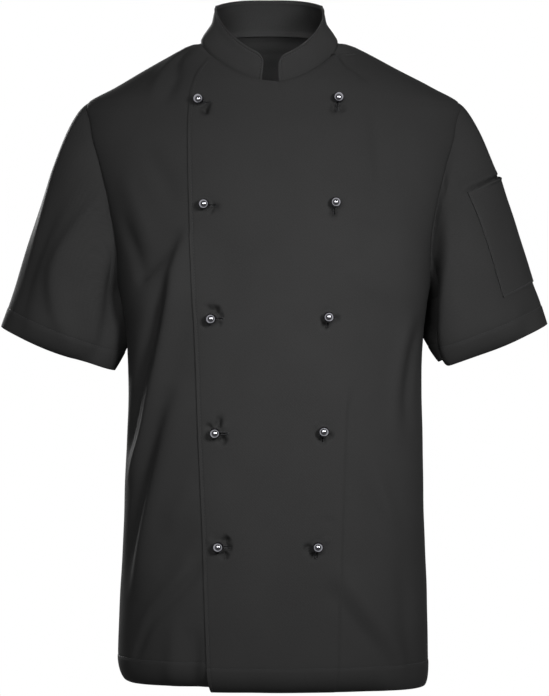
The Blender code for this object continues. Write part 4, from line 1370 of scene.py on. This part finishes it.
def thread_material():
    """Spun polyester sewing thread, black: smoother than the cloth, so each stitch glints."""
    material, tree, shader = new_material("spun_polyester_thread")
    place = add_node(tree, "ShaderNodeTexCoord").outputs["Object"]
    fibre = noise(tree, place, 1800.0, Detail=2.0)
    tree.links.new(mixed(tree, fibre, "#202021", "#2b2b2c"), shader.inputs["Base Color"])
    tree.links.new(ranged(tree, fibre, 0.42, 0.6), shader.inputs["Roughness"])
    shader.inputs["Specular IOR Level"].default_value = 0.2
    return material


def metal_material():
    """Black nickel plate on pressed steel, polished: dark and glossy, with a few fine scuffs."""
    material, tree, shader = new_material("black_nickel_plate")
    place = add_node(tree, "ShaderNodeTexCoord").outputs["Object"]
    scuffs = noise(tree, place, 900.0, Detail=5.0, Roughness=0.7)
    tree.links.new(ranged(tree, scuffs, 0.08, 0.2), shader.inputs["Roughness"])
    tree.links.new(mixed(tree, scuffs, "#85858a", "#94949a"), shader.inputs["Base Color"])
    shader.inputs["Metallic"].default_value = 1.0
    return material


def floor_material():
    """Matt white studio flooring. It glows a little, so that it stays pale under dim lamps."""
    material, tree, shader = new_material("matt_white_floor")
    place = add_node(tree, "ShaderNodeTexCoord").outputs["Object"]
    grain = noise(tree, place, 3.0)
    tree.links.new(mixed(tree, grain, "#f2f2f2", "#f6f6f6"), shader.inputs["Base Color"])
    shader.inputs["Roughness"].default_value = 0.9
    shader.inputs["Emission Color"].default_value = (1, 1, 1, 1)
    shader.inputs["Emission Strength"].default_value = 0.62
    return material


# --- Stitching and buttonholes ---

STITCH_LENGTH = 2.6
STITCH_PITCH = 3.5
THREAD_RADIUS = 0.3
BUTTONHOLE_START = -2.0
BUTTONHOLE_END = 13.0
BUTTONHOLE_WIDTH = 0.9
CUTTER_DEPTH = 16.0
PURL_LENGTH = 2.1
PURL_PITCH = 0.95
PURL_RADIUS = 0.4
PURL_BITE = 0.25  # how far its inner end reaches over the slot
BAR_LENGTH = 3.4
BAR_RADIUS = 0.42
BAR_THREADS = 3
HOLE_WAYS = {"right": (1, 0), "left": (0, -1)}  # across on one side, and down on the other
# One stitch from end to end: how far along, how wide, and how high over the cloth
STITCH_SHAPE = (
    (-0.5, 0.0, -0.3), (-0.34, 0.8, 0.35), (0.0, 1.0, 0.5), (0.34, 0.8, 0.35), (0.5, 0.0, -0.3)
)


class Thread:
    """Stitches, each a small spindle of thread that rises from the cloth and goes back in."""

    def __init__(self):
        self.points = []
        self.faces = []

    def stitch(self, start, end, normal, radius=THREAD_RADIUS, sides=6):
        length = np.linalg.norm(end - start)
        direction = unit(end - start)
        across = unit(np.cross(direction, normal))
        up = np.cross(across, direction)
        first = len(self.points)
        for place, wide, lift in STITCH_SHAPE:
            middle = (start + end) / 2 + direction * place * length + up * lift * radius
            if wide == 0:
                self.points.append(middle)
                continue
            for k in range(sides):
                angle = 2 * math.pi * k / sides
                round_it = across * math.cos(angle) + up * math.sin(angle)
                self.points.append(middle + round_it * radius * wide)
        rings = [first + 1 + k * sides for k in range(3)]
        last = first + 1 + 3 * sides
        for k in range(sides):
            after = (k + 1) % sides
            self.faces.append((first, rings[0] + after, rings[0] + k))
            for low, high in zip(rings[:-1], rings[1:]):
                self.faces.append((low + k, low + after, high + after, high + k))
            self.faces.append((rings[2] + k, rings[2] + after, last))

    def row(self, points, normals):
        """A row of even stitches along a path on the cloth."""
        along = lengths_along(points)
        for start in np.arange(0.5, along[-1] - STITCH_LENGTH, STITCH_PITCH):
            ends = at_lengths([start, start + STITCH_LENGTH], along, points)
            self.stitch(*ends, unit(at_lengths(start, along, normals)))

    def made(self, name, material):
        mesh = bpy.data.meshes.new(name)
        mesh.from_pydata([tuple(p * MM) for p in self.points], [], self.faces)
        bm = bmesh.new()
        bm.from_mesh(mesh)
        bmesh.ops.recalc_face_normals(bm, faces=bm.faces)
        bm.to_mesh(mesh)
        bm.free()
        mesh.shade_smooth()
        mesh.materials.append(material)
        return new_object(name, mesh)


class Surface:
    """A finished piece of cloth, to find places on its outer face."""

    def __init__(self, obj):
        self.tree = BVHTree.FromObject(obj, bpy.context.evaluated_depsgraph_get())

    def places(self, points, normals, reach=14.0):
        """Where lines that come down on the cloth along the normals meet it, and how it faces."""
        found, facing = [], []
        for point, normal in zip(np.asarray(points, float), unit(np.asarray(normals, float))):
            start = Vector((point + normal * reach) * MM)
            place, out, _, _ = self.tree.ray_cast(start, Vector(-normal), 2 * reach * MM)
            if place is not None:
                found.append(np.array(place) / MM)
                facing.append(np.array(out))
        return np.array(found), np.array(facing)


def front_row(surface, thread, turns, z):
    """Stitches along places on the body, found on a front's or the back's outer face."""
    thread.row(*surface.places(body_point(turns, z), body_normal(turns, z)))


def front_stitching(side, edge, hem_lift, surface):
    """The rows down a front's free edge and along its hem. The left front's is side 1."""
    thread = Thread()
    z = np.arange(HEM_Z + hem_lift + 4, LAP_CORNER_Z - 5, 1.6)
    front_row(surface, thread, side * -turn_at_x(edge(z) - EDGE_STITCH, z), z)
    hem = HEM_Z + hem_lift + HEM_DEPTH
    stop = float(turn_at_x(edge(hem) - 6, hem))
    turns = side * np.linspace(-stop, math.pi / 2 - 0.02, 400)
    front_row(surface, thread, turns, np.full(len(turns), hem))
    return thread


def back_stitching(surface):
    """The row along the back's hem."""
    thread = Thread()
    hem = HEM_Z + BACK_HEM_LIFT + HEM_DEPTH
    turns = np.linspace(math.pi / 2 + 0.02, 1.5 * math.pi - 0.02, 500)
    front_row(surface, thread, turns, np.full(len(turns), hem))
    return thread


def cuff_stitching(grid, surface):
    """The row round a sleeve's hem, up to its seam on both sides."""
    thread = Thread()
    points, normals = sleeve_places(grid, np.linspace(-178, 178, 360) % 360, CUFF_HEM_DEPTH)
    thread.row(*surface.places(points, normals))
    return thread


def pocket_stitching(grid, surface):
    """Down one side, along the bottom and up the other. The top is open."""
    thread = Thread()
    first, last = POCKET_TURN
    low, high = POCKET_UP
    inset = POCKET_STITCH / DEGREE_ROUND_SLEEVE
    ups = np.linspace(low + POCKET_STITCH, high - 1.5, 80)
    across = np.linspace(first + inset, last - inset, 60)
    for degrees, up in (
        (np.full(80, last - inset), ups[::-1]),
        (across[::-1], np.full(60, low + POCKET_STITCH)),
        (np.full(80, first + inset), ups),
    ):
        thread.row(*surface.places(*sleeve_places(grid, degrees % 360, up)))
    return thread


def collar_stitching(surface):
    """Round the collar's free edge, from one front end to the other."""
    foot_rows = COLLAR_FOOT_LINES.index(0.8)  # the row starts just over the collar's foot
    top_rows = len(COLLAR_TOP_LINES) - COLLAR_TOP_LINES.index(COLLAR_STITCH)
    halves = []
    for side in (1, -1):
        points, _, _ = collar_half(side)
        stop = COLLAR_END_LINES.index(COLLAR_STITCH)
        row = len(points) - top_rows
        halves.append(np.concatenate([points[foot_rows:row, stop], points[row, stop:]]))
    path = np.concatenate([halves[0], halves[1][-2::-1]])
    middle = np.array([lean(0.0), 4.0, 0.0])
    thread = Thread()
    normals = unit((path - middle) * np.array([1, 1, 0.0]))
    thread.row(*surface.places(path, normals, 5.0))
    return thread


def bind_slot(thread, line, forward, beside, normal):
    """Purl stitches along both sides of a slot, and a bar of thread across each of its ends."""
    along = lengths_along(line)
    half = BUTTONHOLE_WIDTH / 2
    for way in (1, -1):
        for at in np.arange(0.3, along[-1], PURL_PITCH):
            point = at_lengths(at, along, line)
            inner = point + beside * way * (half - PURL_BITE)
            outer = point + beside * way * (half + PURL_LENGTH)
            thread.stitch(inner, outer, normal, PURL_RADIUS)
    bar = beside * BAR_LENGTH / 2
    for end, way in ((line[-1], 1), (line[0], -1)):
        for k in range(BAR_THREADS):
            middle = end + forward * way * (0.4 + 0.8 * k)
            thread.stitch(middle - bar, middle + bar, normal, BAR_RADIUS)


def buttonholes(cloth):
    """Cuts the buttonholes through the left front, and returns the thread that binds them. A
    stud stands near the start of its own."""
    surface = Surface(cloth)
    thread = Thread()
    cutter = bmesh.new()
    for stud in STUDS:
        across, down = HOLE_WAYS[stud.side]
        along = np.linspace(BUTTONHOLE_START, BUTTONHOLE_END, 60)
        turn, z = on_front(stud.x + along * across, stud.z + along * down)
        line, out = surface.places(body_point(turn, z), body_normal(turn, z))
        forward = unit(line[-1] - line[0])
        normal = unit(body_normal(*on_front(stud.x, stud.z)))
        beside = unit(np.cross(normal, forward))
        length = np.linalg.norm(line[-1] - line[0])
        turned = Matrix([Vector(v) for v in (forward, beside, normal)]).transposed().to_4x4()
        place = Matrix.Translation(Vector((line[0] + line[-1]) / 2 * MM)) @ turned
        scale = Matrix.Diagonal((length * MM, BUTTONHOLE_WIDTH * MM, CUTTER_DEPTH * MM, 1))
        bmesh.ops.create_cube(cutter, size=1, matrix=place @ scale)
        bind_slot(thread, line, forward, beside, normal)
    mesh = bpy.data.meshes.new("Buttonhole cutter")
    cutter.to_mesh(mesh)
    cutter.free()
    knife = new_object("Buttonhole cutter", mesh)
    apply_modifier(
        cloth, "BOOLEAN", "Buttonholes", operation="DIFFERENCE", object=knife, solver="EXACT"
    )
    bpy.data.objects.remove(knife)
    return thread


# --- Studs ---


def stud_mesh():
    """A pressed ball on a shank, with a rounded disc behind the cloth, along its own Z."""
    bpy.ops.object.select_all(action="DESELECT")
    bpy.ops.mesh.primitive_uv_sphere_add(
        segments=40, ring_count=24, radius=BALL_RADIUS * MM,
        location=(0, 0, (BALL_LOW + BALL_RADIUS) * MM),
    )
    obj = bpy.context.object
    bpy.ops.object.transform_apply(location=True, rotation=True, scale=True)
    bpy.ops.object.mode_set(mode="EDIT")
    bpy.ops.mesh.select_all(action="SELECT")
    bpy.ops.mesh.bisect(
        plane_co=(0, 0, (BALL_LOW + SOFT_CORNER) * MM), plane_no=(0, 0, -1), clear_outer=True,
        use_fill=True,
    )
    # From the ball's flat down: the shank, then out and down round the disc.
    face, bevel = DISC_RADIUS - SOFT_CORNER, DISC_BEVEL
    moves = (
        (0.0, SHANK_RADIUS / BALL_FLAT_RADIUS),
        (DISC_TOP - BALL_LOW - SOFT_CORNER, 1.0),
        (0.0, face / SHANK_RADIUS),
        (-bevel, DISC_RADIUS / face),
        (2 * bevel - DISC_THICK, 1.0),
        (-bevel, face / DISC_RADIUS),
        (0.0, 0.5),
    )
    for drop, grow in moves:
        bpy.ops.mesh.extrude_region_move(TRANSFORM_OT_translate={"value": (0, 0, drop * MM)})
        bpy.ops.transform.resize(value=(grow, grow, 1))
    bpy.ops.mesh.select_all(action="SELECT")
    bpy.ops.mesh.normals_make_consistent(inside=False)
    bpy.ops.object.mode_set(mode="OBJECT")
    mesh = obj.data
    mesh.shade_smooth()
    mesh.set_sharp_from_angle(angle=math.radians(50))
    bpy.data.objects.remove(obj)
    return mesh


# --- Camera, light and floor ---


CAMERA_PLACE = (0.0036, -3.5, -0.366)
CAMERA_LENS = 150.9
FLOOR_Z = -1.45
FLOOR_RADIUS = 5.4
WALL_LIGHT = 0.14  # how much of the walls' white reaches the jacket

# Round softboxes in metres and watts. A grid narrows each one's light to beam degrees.
Softbox = namedtuple("Softbox", "name place target size power beam")
SOFTBOXES = (
    Softbox("Key softbox", (0.75, -1.6, 0.08), (-0.02, 0.0, -0.42), 0.45, 3.3, 56),
    Softbox("Front fill", (-0.35, -1.8, 0.1), (-0.02, 0.0, -0.40), 0.8, 2.7, 66),
    Softbox("Neck light", (0.0, -0.42, 0.5), (0.0, 0.1, -0.08), 0.1, 0.065, 20),
    Softbox("Back softbox", (-0.95, 1.6, 0.2), (0.0, 0.0, -0.40), 0.7, 13, 80),
)


def add_softbox(box):
    light = bpy.data.lights.new(box.name, "AREA")
    light.shape = "DISK"
    light.size = box.size
    light.energy = box.power
    light.spread = math.radians(box.beam)
    obj = new_object(box.name, light)
    obj.location = box.place
    aim = Vector(box.target) - Vector(box.place)
    obj.rotation_euler = aim.to_track_quat("-Z", "Y").to_euler()


def set_stage():
    """The camera, the softboxes, the studio's pale walls and its floor."""
    camera = new_object("Camera", bpy.data.cameras.new("Camera"))
    camera.data.lens = CAMERA_LENS
    camera.data.clip_end = 100
    camera.location = CAMERA_PLACE
    camera.rotation_euler = (math.pi / 2, 0, 0)
    bpy.context.scene.camera = camera
    for box in SOFTBOXES:
        add_softbox(box)

    # The studio's walls show white, but they stand far off and give the jacket little light.
    world = bpy.data.worlds.new("Pale studio")
    world.use_nodes = True
    tree = world.node_tree
    ray = add_node(tree, "ShaderNodeLightPath")
    way = add_node(tree, "ShaderNodeTexCoord").outputs["Generated"]
    ahead = add_node(tree, "ShaderNodeSeparateXYZ", _0=way).outputs["Y"]
    # The wall behind the camera is dark, so polished metal shows a dark middle in a pale ring.
    wall = add_node(tree, "ShaderNodeMapRange", _0=ahead, _1=-0.45, _2=-0.2).outputs[0]
    glossy = reckoned(tree, "MULTIPLY", ray.outputs["Is Glossy Ray"], wall)
    seen = reckoned(tree, "MAXIMUM", ray.outputs["Is Camera Ray"], glossy)
    light = ranged(tree, seen, WALL_LIGHT, 1.0)
    tree.links.new(light, tree.nodes["Background"].inputs["Strength"])
    tree.nodes["Background"].inputs["Color"].default_value = (1, 1, 1, 1)
    bpy.context.scene.world = world
    bpy.context.scene.view_settings.view_transform = "Standard"

    bpy.ops.object.select_all(action="DESELECT")
    bpy.ops.mesh.primitive_circle_add(
        vertices=96, radius=FLOOR_RADIUS, fill_type="NGON", location=(0, 0, FLOOR_Z)
    )
    floor = bpy.context.object
    floor.name = "Floor"
    bpy.ops.object.transform_apply(location=True)
    floor.data.materials.append(floor_material())
    floor.visible_diffuse = False  # so that no light comes up off it onto the jacket
    floor.visible_glossy = False


# --- The jacket ---


def finish_piece(obj, slot, *nodes):
    """Ties a piece to the jacket's body, in the place of the CAD nodes named, which it hides. slot is
    not used.
    """
    if nodes:
        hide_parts(*nodes)
    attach(obj, "root")
    return obj


# How each piece of cloth was cut: (width, length) and flat area, in metres and square metres, how
# it is held, and what it hangs on
Cut = namedtuple("Cut", "flat area held rests_on")


def build():
    """Makes every piece of the jacket."""
    set_stage()
    twill = twill_material()
    thread_look = thread_material()
    metal = metal_material()

    # Every fold moves the fronts and the back alike, so that the side seams stay closed.
    creases = body_creases(RIGHT_FRONT_FOLDS + LEFT_FRONT_FOLDS + BOTH_FRONTS_FOLDS, on_front)
    creases += body_creases(BACK_FOLDS, on_back) + seam_creases()
    puckers = stud_creases()
    sleeves = {"sleeve_right": (-1, RIGHT_SLEEVE_FOLDS), "sleeve_left": (1, LEFT_SLEEVE_FOLDS)}

    cloths = {
        "front_right": front_cloth(-1, underlap_edge, None, UNDERLAP_HEM_LIFT, creases),
        "front_left": front_cloth(1, flap_edge, underlap_edge, 0.0, creases),
        "back": back_cloth(creases),
        "collar": collar_cloth(),
    }
    grids = {}
    for name, (side, folds) in sleeves.items():
        grids[name] = sleeve_grid(side)
        sleeve_folds = sleeve_creases(grids[name], folds, side)
        cloths[name] = sleeve_cloth(grids[name], sleeve_folds, side)
    cloths["sleeve_pocket"] = pocket_cloth(grids["sleeve_left"], sleeve_folds)

    thickness = {"collar": COLLAR_THICK, "sleeve_pocket": POCKET_THICK}
    pieces = {}
    for name, cloth in cloths.items():
        fine = puckers if name in ("front_left", "front_right") else ()
        obj = cloth_object(name + "_cloth", cloth, thickness.get(name, DOUBLE_THICK), twill, fine)
        pieces[name] = finish_piece(obj, "black_cloth", name)

    surfaces = {name: Surface(obj) for name, obj in pieces.items()}
    threads = {
        "front_right": front_stitching(-1, underlap_edge, UNDERLAP_HEM_LIFT, surfaces["front_right"]),
        "front_left": front_stitching(1, flap_edge, 0.0, surfaces["front_left"]),
        "back": back_stitching(surfaces["back"]),
        "sleeve_right": cuff_stitching(grids["sleeve_right"], surfaces["sleeve_right"]),
        "sleeve_left": cuff_stitching(grids["sleeve_left"], surfaces["sleeve_left"]),
        "collar": collar_stitching(surfaces["collar"]),
        "sleeve_pocket": pocket_stitching(grids["sleeve_left"], surfaces["sleeve_pocket"]),
    }
    rows = {}
    for name, thread in threads.items():
        obj = thread.made(name + "_stitching", thread_look)
        rows[name] = [finish_piece(obj, "black_cloth")]
    bound = buttonholes(pieces["front_left"]).made("buttonhole_binding", thread_look)
    rows["front_left"].append(finish_piece(bound, "black_cloth"))

    pattern = stud_mesh()
    for stud in STUDS:
        mesh = pattern.copy()
        place = stud_place(stud)
        place.translation *= MM
        mesh.transform(place)
        mesh.materials.append(metal)
        obj = new_object(f"stud_{stud.side}_{stud.row}", mesh)
        finish_piece(obj, "dark_studs", f"button_{stud.side}_{stud.row}")
    bpy.data.meshes.remove(pattern)


build()
